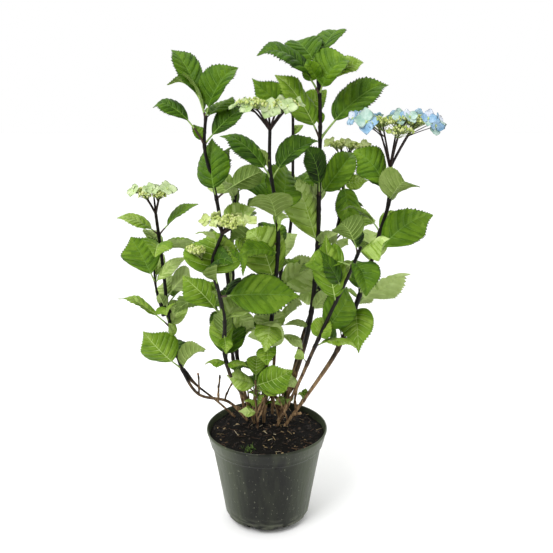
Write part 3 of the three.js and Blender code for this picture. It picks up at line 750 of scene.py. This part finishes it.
def growYoungPairs(rng):
    for key, pairs in youngPairs.items():
        for height, bearing, reach in pairs:
            for side in (0, 180):
                turn = bearing + side + rng.uniform(*youngMake["turn"])
                leaf = grownLeaf(canes[key], height, turn, rng.uniform(*youngMake["rise"]),
                                 reach * rng.uniform(*youngMake["reach"]),
                                 reach * rng.uniform(*youngMake["width"]), youngMake["facing"])
                leaf["tint"], leaf["back"] = rng.choice(youngMake["tints"]), youngMake["back"]
                leaf["fold"] = rng.uniform(*youngMake["fold"])
                yield key, dealLeaf(leaf, rng)


for key, leaf in [*growFarLeaves(random.Random(19)), *growYoungPairs(random.Random(23))]:
    leaves[key].append(leaf)
print("leaves in all", sum(map(len, leaves.values())))


def makeFoliage(rng):
    stalks = bmesh.new()
    for key, found in leaves.items():
        if not found:
            continue
        foliage = bmesh.new()
        for leaf in found:
            addLeaf(foliage, leaf)
            addStalk(stalks, leaf, rng.choice(stalkMake["dark"]))
        finishPiece("foliage_" + key, foliage, leafMaterials, massNames[key])
    materials = [mottled("stalk_dark", (48, 30, 24), (66, 44, 30), patch=90, rough=(0.4, 0.55)),
                 mottled("stalk_green", (120, 150, 70), (142, 166, 86), patch=90, rough=(0.4, 0.55))]
    finishPiece("leaf_stalks", stalks, materials)


makeFoliage(random.Random(11))
print("leaves grown")


# slim and old say how the width and the ridges of a cane change over a span of heights
caneMake = {"sides": 14, "slim": (0.6, 0.94), "slimSpan": (0.17, 0.3), "node": 0.2, "nodeLength": 0.0035,
            "ridges": (0.015, 0.09), "ridgeSpan": (0.16, 0.3), "ridgeTurn": 2.2, "ridgeRise": 60,
            "barkTop": (0.18, 0.28), "barkWander": (45, 0.14), "barkSided": -0.35}


# Bark that is grey-brown and ridged on the old wood near the soil and dark and smooth on
# the young wood above.
def makeBark():
    material, tree, shader = newMaterial("cane_bark")
    young = addMottle(tree, (5, 4, 2), (22, 15, 10), 90, 700, (0.34, 0.52), 3)
    old = addMottle(tree, (66, 44, 30), (172, 142, 104), 420, 500, (0.7, 0.9), 9)
    place = addNode(tree, "TexCoord", {})["Object"]
    split = addNode(tree, "SeparateXYZ", {"Vector": place})
    scale, shift = caneMake["barkWander"]
    wander = addNode(tree, "TexNoise", {"Vector": place, "Scale": scale})["Fac"]
    shifted = addMath(tree, "MULTIPLY_ADD", wander, shift, split["Z"])
    # the old wood reaches higher on the right
    sided = addMath(tree, "MULTIPLY_ADD", split["X"], caneMake["barkSided"], shifted)
    low, high = caneMake["barkTop"]
    age = addRange(tree, sided, low + shift / 2, high + shift / 2, curve="SMOOTHSTEP")
    color = addBlend(tree, age, old["Color"], young["Color"])
    rough = addBlend(tree, age, old["Roughness"], young["Roughness"], "FLOAT")
    coat(tree, shader, color, rough, old["Height"], 0.0004, 0.2)
    return material


bark = makeBark()


def makeCane(key, run, number):
    joints = sorted({round(leaf["start"].z, 3) for leaf in leaves[key]})
    stations = []
    for spot, radius in run:
        swollen = sum(math.exp(-((spot.z - height) / caneMake["nodeLength"]) ** 2) for height in joints)
        slim = mix(*caneMake["slim"], eased(*caneMake["slimSpan"], spot.z))
        stations.append((spot, radius * (slim + caneMake["node"] * min(swollen, 1))))

    def ridged(turn, row):
        spot = stations[min(max(row - 1, 0), len(stations) - 1)][0]
        smooth, ridge = caneMake["ridges"]
        aged = 1 - eased(*caneMake["ridgeSpan"], spot.z)
        x, y = math.cos(turn) * caneMake["ridgeTurn"], math.sin(turn) * caneMake["ridgeTurn"]
        return 1 + (smooth + ridge * aged) * noise.noise(
            Vector((x, y, spot.z * caneMake["ridgeRise"] + number * 9)))

    shaft = bmesh.new()
    addTube(shaft, stations, caneMake["sides"], swell=ridged)
    finishPiece("stem_" + key, shaft, [bark], ["cane_" + key])


for number, (key, run) in enumerate(canes.items()):
    makeCane(key, run, number)


# Bare twigs and pruned stubs round the foot: where they start, the way they lean, their
# length and thickness in millimetres. Those as thick as budded says carry winter buds.
twigRows = [
    ("left", 200, 110, 70, 30, 1.6), ("left", 186, 80, 78, 36, 1.5), ("old", 176, 70, 62, 46, 1.8),
    ("mid_left", 170, 170, 60, 44, 2.6), ("front", 165, 250, 66, 30, 2.4),
    ("middle", 160, 300, 75, 46, 2.2), ("middle", 158, 200, 68, 34, 2), ("back", 170, 250, 78, 60, 2.2),
    ("tall", 165, 250, 62, 52, 2.4), ("tall", 172, 330, 70, 40, 2), ("right", 168, 290, 42, 26, 2.6),
    ("right", 175, 130, 66, 46, 2), ("front_right", 170, 30, 66, 44, 2.2),
    ("back_left", 165, 120, 70, 50, 2.2), ("back_right", 168, 60, 72, 50, 2),
    ("back", 160, 60, 70, 56, 2.4), ("low", 175, 330, 76, 34, 1.6), ("front", 160, 180, 72, 40, 1.8),
    ("right", 290, 40, 10, 22, 1.5), ("mid_left", 270, 320, 55, 20, 1.2),
    ("middle", 262, 240, 50, 16, 1.2), ("front", 156, 200, 80, 62, 1.3),
    ("mid_left", 156, 240, 84, 66, 1.4), ("middle", 155, 0, 84, 60, 1.5), ("middle", 155, 90, 80, 72, 1.6),
    ("tall", 156, 200, 78, 64, 1.4), ("tall", 156, 60, 74, 70, 1.7), ("right", 156, 200, 72, 52, 1.4),
    ("back", 156, 0, 76, 74, 1.5), ("front_right", 155, 260, 74, 40, 1.3), ("low", 153, 90, 82, 50, 1.2),
    ("low", 152, 30, 86, 58, 1.1), ("low", 152, 200, 84, 66, 1.3), ("middle", 153, 180, 86, 70, 1.1),
    ("middle", 153, 270, 84, 60, 1.3), ("tall", 153, 120, 86, 76, 1.3), ("tall", 153, 300, 82, 58, 1.1),
    ("mid_left", 153, 60, 86, 72, 1.1), ("front", 153, 40, 85, 64, 1.1), ("tall", 153, 200, 84, 50, 1.1),
    ("back_right", 153, 220, 84, 66, 1.3), ("left", 158, 300, 66, 34, 1.4),
    ("back_right", 156, 300, 70, 60, 1.5)]
twigMake = {"sides": 8, "step": 4, "bend": 0.16, "joint": 1.35, "taper": 0.72, "budded": (1.2, 1.6),
            "budLean": 0.35, "budLength": 0.005, "budWidth": 0.0015, "budSeat": 0.001}


def makeTwigs(rng):
    twigs = bmesh.new()
    bend = twigMake["bend"]
    for key, height, bearing, rise, length, thick in twigRows:
        spot = stationAt(canes[key], height / 1000)[0]
        way = heading(bearing, rise)
        stations = [(spot.copy(), thick / 1000)]
        steps = max(4, round(length / twigMake["step"]))
        for k in range(steps):
            way = (way + Vector([rng.uniform(-bend, bend) for _ in range(3)])).normalized()
            spot = spot + way * (length / 1000 / steps)
            joint = twigMake["joint"] if k % 4 == 2 else 1
            stations.append((spot.copy(), thick / 1000 * mix(1, twigMake["taper"], k / steps) * joint))
        addTube(twigs, stations, twigMake["sides"])
        for side in (-1, 1) if thick in twigMake["budded"] else ():
            lean = (way + way.orthogonal().normalized() * (side * twigMake["budLean"])).normalized()
            bud = [(spot + lean * (twigMake["budLength"] * s - twigMake["budSeat"]),
                    twigMake["budWidth"] * math.sin(math.pi * (0.12 + 0.86 * s)))
                   for s in (0, 0.25, 0.5, 0.75, 1)]
            addTube(twigs, bud, 6, paint=lambda row: 1)
    return twigs


budBrown = mottled("bud_brown", (110, 66, 40), (140, 92, 54), patch=200, rough=(0.5, 0.7))
finishPiece("twigs", makeTwigs(random.Random(5)), [bark, budBrown])
print("canes and twigs made")


# How a lacecap opens: its branches fork on the way up, carry flat tufts of small buds, and
# end at the rim in sterile flowers of four petals.
bloomMake = {"branch": 0.0015, "branchTaper": (1.25, 0.65), "branchSides": 7, "slender": (0.4, 0.06),
             "knee": 0.62, "buds": 64, "bud": 0.0017, "budSize": (0.7, 1.15), "budTints": [0, 0, 2],
             "budStalk": 0.0004, "stalkFrom": [-2, -2, -3], "tuftSize": 0.29, "least": 0.03, "drop": 0.003,
             "dome": 0.35, "rise": 0.005, "uneven": (-0.002, 0.003), "inset": 0.004, "flowerFrom": 5,
             "flowerStalk": (0.0008, 0.0005)}
petalMake = {"faces": (6, 7), "width": 0.54, "cup": 0.22, "ripple": 0.035, "thick": 0.0003, "offset": 1.5,
             "turn": (-0.12, 0.12), "tilt": (-0.12, 0.4), "length": (0.46, 0.56), "curl": (-0.12, 0.3),
             "lift": (0.0004, 0.0003), "heart": (0.0016, 0.0015)}

# For each bloom the sterile flowers as (bearing, share of the radius, width, bearing that
# it faces, lean from the sky, lift), and the tufts of buds as (bearing, share, lift), in
# degrees and millimetres.
bloomForms = {
    "bloom_right_1": {
        "flowers": [(205, 0.8, 36, 255, 68, -1), (184, 0.98, 26, 215, 70, 3), (272, 0.34, 24, 270, 60, 5),
                    (295, 0.5, 24, 290, 62, 5), (328, 0.74, 27, 280, 66, 3), (345, 0.86, 30, 300, 62, -7),
                    (8, 0.98, 26, 330, 62, 0), (120, 0.7, 22, 120, 40, 4), (85, 0.8, 22, 85, 50, 4),
                    (45, 0.85, 26, 45, 50, 5), (155, 0.85, 24, 155, 50, 3)],
        "tufts": [(215, 0.42, 1), (300, 0.2, 4), (272, 0.4, -10), (335, 0.42, 2), (20, 0.55, 4),
                  (150, 0.45, 2), (75, 0.5, 3)],
        "tint": "blue"},
    "bloom_middle_1": {
        "flowers": [(193, 0.98, 24, 215, 45, 0), (218, 0.78, 26, 250, 62, -2), (276, 0.5, 33, 270, 66, -4),
                    (318, 0.8, 27, 290, 62, -1), (352, 0.96, 22, 330, 45, 4), (60, 0.8, 22, 60, 45, 4),
                    (120, 0.85, 22, 120, 45, 4), (160, 0.8, 20, 170, 40, 4)],
        "tufts": [(205, 0.62, 5), (240, 0.42, 3), (320, 0.38, 3), (352, 0.62, 3), (90, 0.45, 5),
                  (160, 0.45, 6), (30, 0.6, 4)],
        "tint": "green"},
    "bloom_left_1": {
        "flowers": [(200, 0.85, 26, 235, 55, 2), (255, 0.5, 20, 260, 55, 2), (290, 0.5, 25, 275, 50, 4),
                    (345, 0.85, 30, 300, 50, 5), (100, 0.7, 22, 100, 45, 3), (175, 0.95, 20, 190, 50, 3),
                    (40, 0.8, 22, 40, 50, 4)],
        "tufts": [(190, 0.35, 2), (240, 0.45, -2), (320, 0.5, -2), (90, 0.4, 2), (20, 0.4, 1)],
        "tint": "green"},
    "bloom_front_1": {
        "flowers": [(195, 0.9, 20, 240, 45, 3), (235, 0.85, 14, 250, 50, 1), (350, 0.98, 22, 290, 40, 1),
                    (325, 0.8, 14, 290, 40, 2), (60, 0.8, 20, 60, 40, 3), (130, 0.8, 20, 130, 40, 3)],
        "tufts": [(230, 0.45, 0), (285, 0.42, -2), (330, 0.55, 0), (180, 0.35, 1), (80, 0.45, 2),
                  (20, 0.45, 1), (130, 0.4, 1)],
        "tint": "cream"},
    "bloom_front_2": {
        "flowers": [(200, 0.5, 13, 240, 40, 1)],
        "tufts": [(300, 0.5, 0), (120, 0.4, 1), (20, 0.5, 0)],
        "tint": "cream"},
    "bloom_back_right_1": {
        "flowers": [(200, 0.9, 24, 230, 45, 10), (340, 0.9, 24, 300, 45, 6), (90, 0.8, 22, 90, 45, 8),
                    (280, 0.6, 20, 270, 45, 9)],
        "tufts": [(210, 0.6, 9), (180, 0.25, 10), (300, 0.5, 8), (350, 0.65, 4), (60, 0.5, 8),
                  (120, 0.5, 8)],
        "tint": "cream"},
}
budTints = {"bud_green": ((148, 168, 74), (182, 194, 104)), "bud_stalk": ((112, 132, 62), (140, 154, 84)),
            "bud_pale": ((190, 200, 124), (212, 216, 152)),
            "petal_heart": ((172, 196, 110), (196, 212, 138))}
petalTints = {"blue": ((122, 166, 198), (172, 200, 222)), "sea": ((148, 186, 172), (196, 216, 206)),
              "lilac": ((192, 204, 222), (220, 224, 234)), "green": ((162, 186, 124), (200, 214, 168)),
              "cream": ((166, 182, 100), (192, 204, 140))}
petalSlots = {"blue": (0, 0, 0, 2, 2, 3), "green": (0,), "cream": (2,)}  # the materials a petal may take


# where a bloom's cap lies, its radius, and the fork that its branches leave
def capOf(nodeName):
    low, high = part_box(nodeName)
    bm = mergedCopy(nodeName)
    top = [corner.co.copy() for corner in bm.verts if corner.co.z > mix(low.z, high.z, 0.5)]
    bm.free()
    east, north = [spot.x for spot in top], [spot.y for spot in top]
    radius = (max(east) - min(east)) / 2
    middle = Vector((max(east) - 1.1 * radius, (max(north) + min(north)) / 2, 0))
    middle.z = max(top, key=lambda spot: (spot.xy - middle.xy).length).z
    fork = stationAt(canes[nodeName[6:].rsplit("_", 1)[0]], low.z)[0]
    return middle, radius, fork


def addPetal(target, centre, out, facing, length, tint, curl):
    across, along = petalMake["faces"]
    sideways = out.cross(facing).normalized()

    def place(row, column, under):
        s, u = (row / along) ** 1.25, 2 * column / across - 1
        wide = petalMake["width"] * length * math.sin(math.pi * min(s, 0.93) ** 0.85) ** 0.7
        ripple = petalMake["ripple"] * math.sin(4 * u + 9 * s + 40 * curl) * s
        cup = length * (petalMake["cup"] * (s - 0.4) ** 2 + curl * u * u * s + ripple)
        ends = 0 if row in (0, along) or column in (0, across) else petalMake["thick"]
        rim = length * (s - 0.1 * abs(u) * s)
        return centre + out * rim + sideways * (u * wide) + facing * (cup - (ends if under else 0))

    def paint(row, column):
        return 1 if row == 0 else tint

    addGrid(target, across, along, lambda r, c: place(r, c, False), paint, flip=True)
    addGrid(target, across, along, lambda r, c: place(r, c, True), paint)


def addFlower(target, centre, facing, width, tints, rng):
    first = facing.orthogonal().normalized()
    second = facing.cross(first)
    low, step = petalMake["lift"]
    offset = rng.uniform(0, petalMake["offset"])
    for k in range(4):
        turn = offset + k * math.pi / 2 + rng.uniform(*petalMake["turn"])
        out = first * math.cos(turn) + second * math.sin(turn)
        tilted = (out + facing * rng.uniform(*petalMake["tilt"])).normalized()
        face = (facing - tilted * facing.dot(tilted)).normalized()
        length, curl = width * rng.uniform(*petalMake["length"]), rng.uniform(*petalMake["curl"])
        foot = centre + facing * (low + step * (k % 2))
        addPetal(target, foot, tilted, face, length, rng.choice(tints), curl)
    lift, radius = petalMake["heart"]
    addBead(target, centre + facing * lift, radius, 1)


# a branch that leaves its fork steeply and bends out to its end
def branchRun(start, end, count=9):
    knee = Vector((mix(start.x, end.x, 0.5), mix(start.y, end.y, 0.5),
                   mix(start.z, end.z, bloomMake["knee"])))
    return [curved(start, knee, end, k / (count - 1)) for k in range(count)]


# a tube along a branch that thins from one radius to the other
def addBranch(target, run, thick, thin, sides):
    last = len(run) - 1
    addTube(target, [(spot, mix(thick, thin, k / last)) for k, spot in enumerate(run)], sides)


# a small bud on its stalk, somewhere in the tuft round the end of a branch
def addBud(target, run, size, rng):
    end = run[-1]
    spread = size * math.sqrt(rng.random())
    dome = bloomMake["dome"] * spread * spread / size
    aside = heading(rng.uniform(0, 360), 0) * spread
    tip = end + aside + up * (bloomMake["rise"] - dome + rng.uniform(*bloomMake["uneven"]))
    foot = run[rng.choice(bloomMake["stalkFrom"])]
    stalk = [(mix(foot, tip, s), bloomMake["budStalk"]) for s in (0.1, 0.55, 0.98)]
    addTube(target, stalk, 4, paint=lambda row: 1)
    radius = bloomMake["bud"] * rng.uniform(*bloomMake["budSize"])
    addBead(target, tip, radius, rng.choice(bloomMake["budTints"]))


def growBloom(nodeName, form, stems, buds, petals, rng):
    middle, radius, fork = capOf(nodeName)
    least, full = bloomMake["slender"]
    thick = bloomMake["branch"] * min(1, least + radius / full)
    size = bloomMake["tuftSize"] * max(radius, bloomMake["least"])
    branches = []
    for bearing, share, lift in form["tufts"]:
        end = middle + heading(bearing, 0) * (share * radius) + up * (lift / 1000 - bloomMake["drop"])
        run = branchRun(fork, end)
        branches.append(run)
        broad, narrow = bloomMake["branchTaper"]
        addBranch(stems, run, thick * broad, thick * narrow, bloomMake["branchSides"])
        for _ in range(bloomMake["buds"]):
            addBud(buds, run, size, rng)
    for bearing, share, width, faces, lean, lift in form["flowers"]:
        spot = middle + heading(bearing, 0) * (share * radius - bloomMake["inset"]) + up * (lift / 1000)
        facing = heading(faces, 90 - lean)
        nearest = min(branches, key=lambda run: (run[-1] - spot).length)
        stalk = branchRun(nearest[bloomMake["flowerFrom"]], spot - facing * 0.001, 6)
        addBranch(stems, stalk, *bloomMake["flowerStalk"], 5)
        addFlower(petals, spot, facing, width / 1000, petalSlots[form["tint"]], rng)


def makeBlooms(rng):
    stems, buds = bmesh.new(), bmesh.new()
    petals = {"blue": bmesh.new(), "green": bmesh.new()}
    for nodeName, form in bloomForms.items():
        growBloom(nodeName, form, stems, buds, petals["blue" if form["tint"] == "blue" else "green"], rng)

    dark = mottled("bloom_stem", (20, 12, 11), (44, 27, 24), patch=120, rough=(0.4, 0.6), gloss=0.25)
    finishPiece("bloom_stems", stems, [dark])
    *budMaterials, heart = [mottled(name, *pair, patch=300, rough=(0.5, 0.65))
                            for name, pair in budTints.items()]
    finishPiece("bloom_buds", buds, budMaterials)
    paints = {name: mottled("petal_" + name, *pair, patch=110, grain=1400, rough=(0.5, 0.65), depth=0.0001,
                            gloss=0.3) for name, pair in petalTints.items()}
    finishPiece("petals_blue", petals["blue"], [paints["blue"], heart, paints["sea"], paints["lilac"]],
                ["bloom_right_1"])
    finishPiece("petals_green", petals["green"], [paints["green"], heart, paints["cream"]],
                [name for name in bloomForms if name != "bloom_right_1"])


makeBlooms(random.Random(31))
print("blooms made")


# The pot's outline from the middle of its underside, up its wall, over the rim and down
# inside, as (radius, height) in millimetres. A notch is as deep and as wide to each side as
# it says, on a ring of notchRing. footWall is the wall that a notch goes into, as two radii
# and a height, and innerWall is where the nick above it starts and ends.
potMake = {
    "steps": 192,
    "profile": [(0, 1.2), (46, 1.2), (48.5, 0), (53, 0), (54, 0.8), (54.4, 4.4), (54.8, 8), (55.6, 9),
                (64.6, 9.2), (66, 9.5), (66.4, 10.4), (66.9, 13), (72.4, 48), (78.8, 86), (84.6, 120),
                (85.2, 123.4), (85.8, 124.4), (87.2, 124.9), (87.9, 126), (88.3, 128), (89.3, 132.4),
                (89.6, 133), (89.9, 133.6), (92.2, 143), (93.2, 145.6), (93.8, 147.4), (93.6, 149.2),
                (92.7, 150.1), (91.7, 149.9), (91.1, 148.8), (90.4, 146), (86.4, 128), (84.6, 124),
                (82.6, 120), (64, 14), (60, 11), (0, 11)],
    "notches": 8, "notchDepth": 3.4, "notchHalf": 6.8, "notchRing": 57, "notchLift": (0.004, 0.0012),
    "footWall": (0.052, 0.0552, 0.0085), "nick": 4.2, "nickWall": (0.064, 0.0115), "oval": (0.0016, 0.7),
    "sharp": 0.7}


def shapeFoot(bm):
    spacing = 360 / potMake["notches"]
    half = math.degrees(potMake["notchHalf"] / potMake["notchRing"])
    inner, outer, top = potMake["footWall"]
    wall, ledge = potMake["nickWall"]
    low, lift = potMake["notchLift"]
    share, phase = potMake["oval"]
    for corner in bm.verts:
        radius, turn = corner.co.xy.length, math.degrees(math.atan2(corner.co.y, corner.co.x))
        away = abs((turn / spacing) % 1 - 0.5) * spacing
        if away < half and inner < radius < outer and corner.co.z < top:
            corner.co.xy *= (radius - potMake["notchDepth"] / 1000) / radius
            corner.co.z += lift if corner.co.z < low else 0
        if away < half and radius > wall and corner.co.z < ledge:
            corner.co.z += potMake["nick"] / 1000 * (1 - 0.5 * (away / half) ** 2)
        # the wall is never quite round
        corner.co.xy *= 1 + share * math.sin(math.radians(2 * turn) + phase) * (corner.co.z / 0.15)


def makePot():
    bm = bmesh.new()
    rim = [bm.verts.new((radius / 1000, 0, height / 1000)) for radius, height in potMake["profile"]]
    line = [bm.edges.new(pair) for pair in zip(rim, rim[1:])]
    bmesh.ops.spin(bm, geom=rim + line, cent=(0, 0, 0), axis=(0, 0, 1), angle=2 * math.pi,
                   steps=potMake["steps"], use_merge=True)
    bmesh.ops.remove_doubles(bm, verts=bm.verts, dist=1e-5)
    shapeFoot(bm)
    for face in bm.faces:
        face.smooth = True
    bm.normal_update()
    for edge in bm.edges:
        edge.smooth = len(edge.link_faces) == 2 and edge.calc_face_angle(0) < potMake["sharp"]
    return bm


# Black-green moulded plastic: dull, with a painted reflection that lightens its left and right
# flanks to grey-green, dust that has washed down the wall in streaks, soil splashed on the
# foot, and faint scuffs.
def makePotPlastic():
    material, tree, shader = newMaterial("pot_plastic")
    place = addNode(tree, "TexCoord", {})["Object"]
    split = addNode(tree, "SeparateXYZ", {"Vector": place})

    def cloud(scale, stretch, low, high, detail=4):
        laid = addNode(tree, "Mapping", {"Vector": place, "Scale": stretch})["Vector"]
        texture = addNode(tree, "TexNoise", {"Vector": laid, "Scale": scale, "Detail": detail})["Fac"]
        return addRange(tree, texture, low, high)

    streaks = cloud(60, (1, 1, 0.09), 0.48, 0.78)
    patches = cloud(22, (1, 1, 1), 0.4, 0.7)
    specks = cloud(420, (1, 1, 0.5), 0.68, 0.74, 2)
    # painted reflection: the flanks to the left and right grow grey-green away from the middle
    aside = addMath(tree, "ABSOLUTE", split["X"])
    flankReflection = addRange(tree, aside, 0.022, 0.078, curve="SMOOTHSTEP")
    near = addRange(tree, split["Z"], 0.03, 0.004)
    splash = addMath(tree, "MULTIPLY", near, cloud(90, (0.6, 0.6, 2.2), 0.46, 0.62))
    color = addBlend(tree, patches, swatch(10, 12, 6), swatch(24, 27, 17))
    # the first layer is the painted reflection on the flanks; the others are dust, splashes and specks
    layers = [(flankReflection, 0.62, (84, 93, 69)), (streaks, 0.34, (84, 90, 70)), (splash, 0.45, (140, 144, 122)),
              (specks, 0.6, (140, 142, 122))]
    for mask, share, tint in layers:
        color = addBlend(tree, addMath(tree, "MULTIPLY", mask, share), color, swatch(*tint))
    rough = addRange(tree, streaks, 0, 1, (0.36, 0.58))
    coat(tree, shader, color, rough, cloud(180, (1, 1, 0.25), 0.3, 0.7), 0.0002, 0.24)
    return material


finishPiece("nursery_pot", makePot(), [makePotPlastic()], ["pot"])


soilMake = {"edge": 0.0885, "inner": 0.0825, "low": 0.1405, "rise": 0.006, "deep": 0.03, "around": 120,
            "rings": 44, "rough": ((60, 1.3, 0.0026), (220, 7.1, 0.0026))}


def soilHeight(x, y):
    (wide, layer, swell), (fine, other, crumb) = soilMake["rough"]
    radius = math.hypot(x, y)
    mound = soilMake["rise"] * (1 - (radius / soilMake["edge"]) ** 2)
    coarse = noise.noise(Vector((x * wide, y * wide, layer))) * swell
    crumbs = abs(noise.noise(Vector((x * fine, y * fine, other)))) * crumb
    return soilMake["low"] + mound + coarse + crumbs


def makeSoil():
    bm = bmesh.new()
    rings, around = soilMake["rings"], soilMake["around"]

    def place(row, column):
        turn = 2 * math.pi * (column % around) / around
        if row <= rings:
            radius = soilMake["edge"] * row / rings
            x, y = radius * math.cos(turn), radius * math.sin(turn)
            return Vector((x, y, soilHeight(x, y)))
        radius = soilMake["inner"] if row == rings + 1 else 0
        return Vector((radius * math.cos(turn), radius * math.sin(turn), soilMake["low"] - soilMake["deep"]))

    addGrid(bm, around, rings + 2, place, lambda row, column: 0)
    return bm


# Flakes of bark, dry straws and a little moss on the soil. The tints number the
# materials of the litter.
litterMake = {"margin": 0.003, "flakes": 420, "flake": (0.0007, 0.0022), "long": (0.8, 2.2),
              "wide": (0.5, 1), "flat": 0.35, "tilt": (-0.6, 0.6), "flakeTints": [0, 0, 0, 0, 0, 0, 1, 1, 2],
              "straws": 120, "straw": (0.004, 0.014), "strawThick": (0.0002, 0.0005), "strawRise": (-4, 22),
              "strawBow": (-0.2, 0.2), "strawTints": [0, 1, 1, 1, 2, 3],
              "moss": 44, "mossSpot": (-0.026, -0.066, 0.005), "mossRise": (30, 80), "mossLength": 0.006}


def onSoil(rng):
    radius = (soilMake["edge"] - litterMake["margin"]) * math.sqrt(rng.random())
    turn = rng.uniform(0, 2 * math.pi)
    x, y = radius * math.cos(turn), radius * math.sin(turn)
    return Vector((x, y, soilHeight(x, y)))


def addFlake(target, rng):
    flake = bmesh.new()
    bmesh.ops.create_icosphere(flake, subdivisions=1, radius=1)
    size = rng.uniform(*litterMake["flake"])
    long, wide = size * rng.uniform(*litterMake["long"]), size * rng.uniform(*litterMake["wide"])
    bmesh.ops.scale(flake, vec=(long, wide, size * litterMake["flat"]), verts=flake.verts)
    turn = Matrix.Rotation(rng.uniform(0, 6.28), 3, "Z")
    turn = turn @ Matrix.Rotation(rng.uniform(*litterMake["tilt"]), 3, "X")
    bmesh.ops.rotate(flake, matrix=turn, verts=flake.verts)
    bmesh.ops.translate(flake, vec=onSoil(rng) + up * 0.0006, verts=flake.verts)
    tint = rng.choice(litterMake["flakeTints"])
    for face in flake.faces:
        face.material_index = tint
    addBmesh(target, flake)


def addStraw(target, rng):
    spot = onSoil(rng)
    way = heading(rng.uniform(0, 360), rng.uniform(*litterMake["strawRise"]))
    length, thick = rng.uniform(*litterMake["straw"]), rng.uniform(*litterMake["strawThick"])
    bow = way.cross(up) * rng.uniform(*litterMake["strawBow"])
    line = [(spot + up * 0.001 + way * (length * s) + bow * (length * s * s), thick)
            for s in (0, 0.3, 0.6, 1)]
    tint = rng.choice(litterMake["strawTints"])
    addTube(target, line, 5, paint=lambda row: tint)


def addMoss(target, rng):
    east, north, spread = litterMake["mossSpot"]
    x, y = east + rng.gauss(0, spread), north + rng.gauss(0, spread)
    spot = Vector((x, y, soilHeight(x, y)))
    way = heading(rng.uniform(0, 360), rng.uniform(*litterMake["mossRise"]))
    line = [(spot + way * (litterMake["mossLength"] * s), 0.0005 * (1.1 - s)) for s in (0, 0.5, 0.95)]
    addTube(target, line, 4, paint=lambda row: 4)


def makeLitter(rng):
    bm = bmesh.new()
    for add, count in ((addFlake, "flakes"), (addStraw, "straws"), (addMoss, "moss")):
        for _ in range(litterMake[count]):
            add(bm, rng)
    return bm


soilDark = mottled("soil", (6, 5, 3), (16, 13, 9), patch=140, grain=900, rough=(0.85, 1), depth=0.0008,
                   gloss=0.2)
# two tints and the least roughness of each thing that lies on the soil
litterTints = {"flake_dark": ((18, 13, 9), (36, 26, 17), 0.7),
               "flake_brown": ((58, 42, 27), (82, 60, 38), 0.7),
               "straw": ((132, 112, 76), (164, 142, 102), 0.6),
               "straw_pale": ((196, 182, 146), (214, 202, 170), 0.6),
               "moss": ((66, 92, 36), (96, 124, 52), 0.7)}
litterMaterials = [mottled(name, first, second, patch=200, rough=(least, least + 0.2))
                   for name, (first, second, least) in litterTints.items()]
finishPiece("potting_soil", makeSoil(), [soilDark], ["soil"])
finishPiece("soil_litter", makeLitter(random.Random(3)), litterMaterials)
print("pot and soil made")


# A pale floor, a white room that is brightest overhead and darker on the near side, and
# two large soft lights, each with its place, size and power.
stageMake = {"floor": 20, "sky": (0.46, 1.85), "near": (0.3, 1),
             "paper": {"Base Color": (0.97, 0.97, 0.97, 1), "Roughness": 0.9, "Specular IOR Level": 0.1},
             "lights": {"key": ((-1.0, -1.3, 1.9), 1.0, 34), "fill": ((1.5, -0.6, 1.0), 1.2, 2)},
             "middle": (0, 0, 0.35), "pitch": 76.2, "lens": 43.2}


def makeFloor():
    paper, tree, shader = newMaterial("paper")
    for name, value in stageMake["paper"].items():
        feed(tree, shader[name], value)
    bm = bmesh.new()
    bmesh.ops.create_grid(bm, x_segments=1, y_segments=1, size=stageMake["floor"])
    floor = addPiece("floor", bm, [paper])


# the room lights the part, and what the camera sees of it is plain white
def makeRoom():
    world = bpy.data.worlds.new("studio")
    world.use_nodes = True
    tree = world.node_tree
    split = addNode(tree, "SeparateXYZ", {"Vector": addNode(tree, "TexCoord", {})["Generated"]})
    sky = addRange(tree, split["Z"], 0, 1, stageMake["sky"])
    near = addRange(tree, split["Y"], -1, 0.2, stageMake["near"])
    seen = addNode(tree, "LightPath", {})["Is Camera Ray"]
    strength = addBlend(tree, seen, addMath(tree, "MULTIPLY", sky, near), 1, "FLOAT")
    background = tree.nodes["Background"].inputs
    feed(tree, background["Color"], (1, 1, 1, 1))
    feed(tree, background["Strength"], strength)
    bpy.context.scene.world = world


def makeLights():
    for name, (spot, size, power) in stageMake["lights"].items():
        light = bpy.data.lights.new(name, "AREA")
        light.size = size
        light.energy = power
        lamp = addObject(name, light)
        lamp.location = spot
        towards = Vector(stageMake["middle"]) - Vector(spot)
        lamp.rotation_euler = towards.to_track_quat("-Z", "Y").to_euler()


def makeCamera():
    camera = addObject("camera", bpy.data.cameras.new("camera"))
    camera.data.lens = stageMake["lens"]
    camera.location = eye
    camera.rotation_euler = (math.radians(stageMake["pitch"]), 0, 0)
    bpy.context.scene.camera = camera
    bpy.context.scene.view_settings.view_transform = "Standard"


makeFloor()
makeRoom()
makeLights()
makeCamera()
print("stage set")
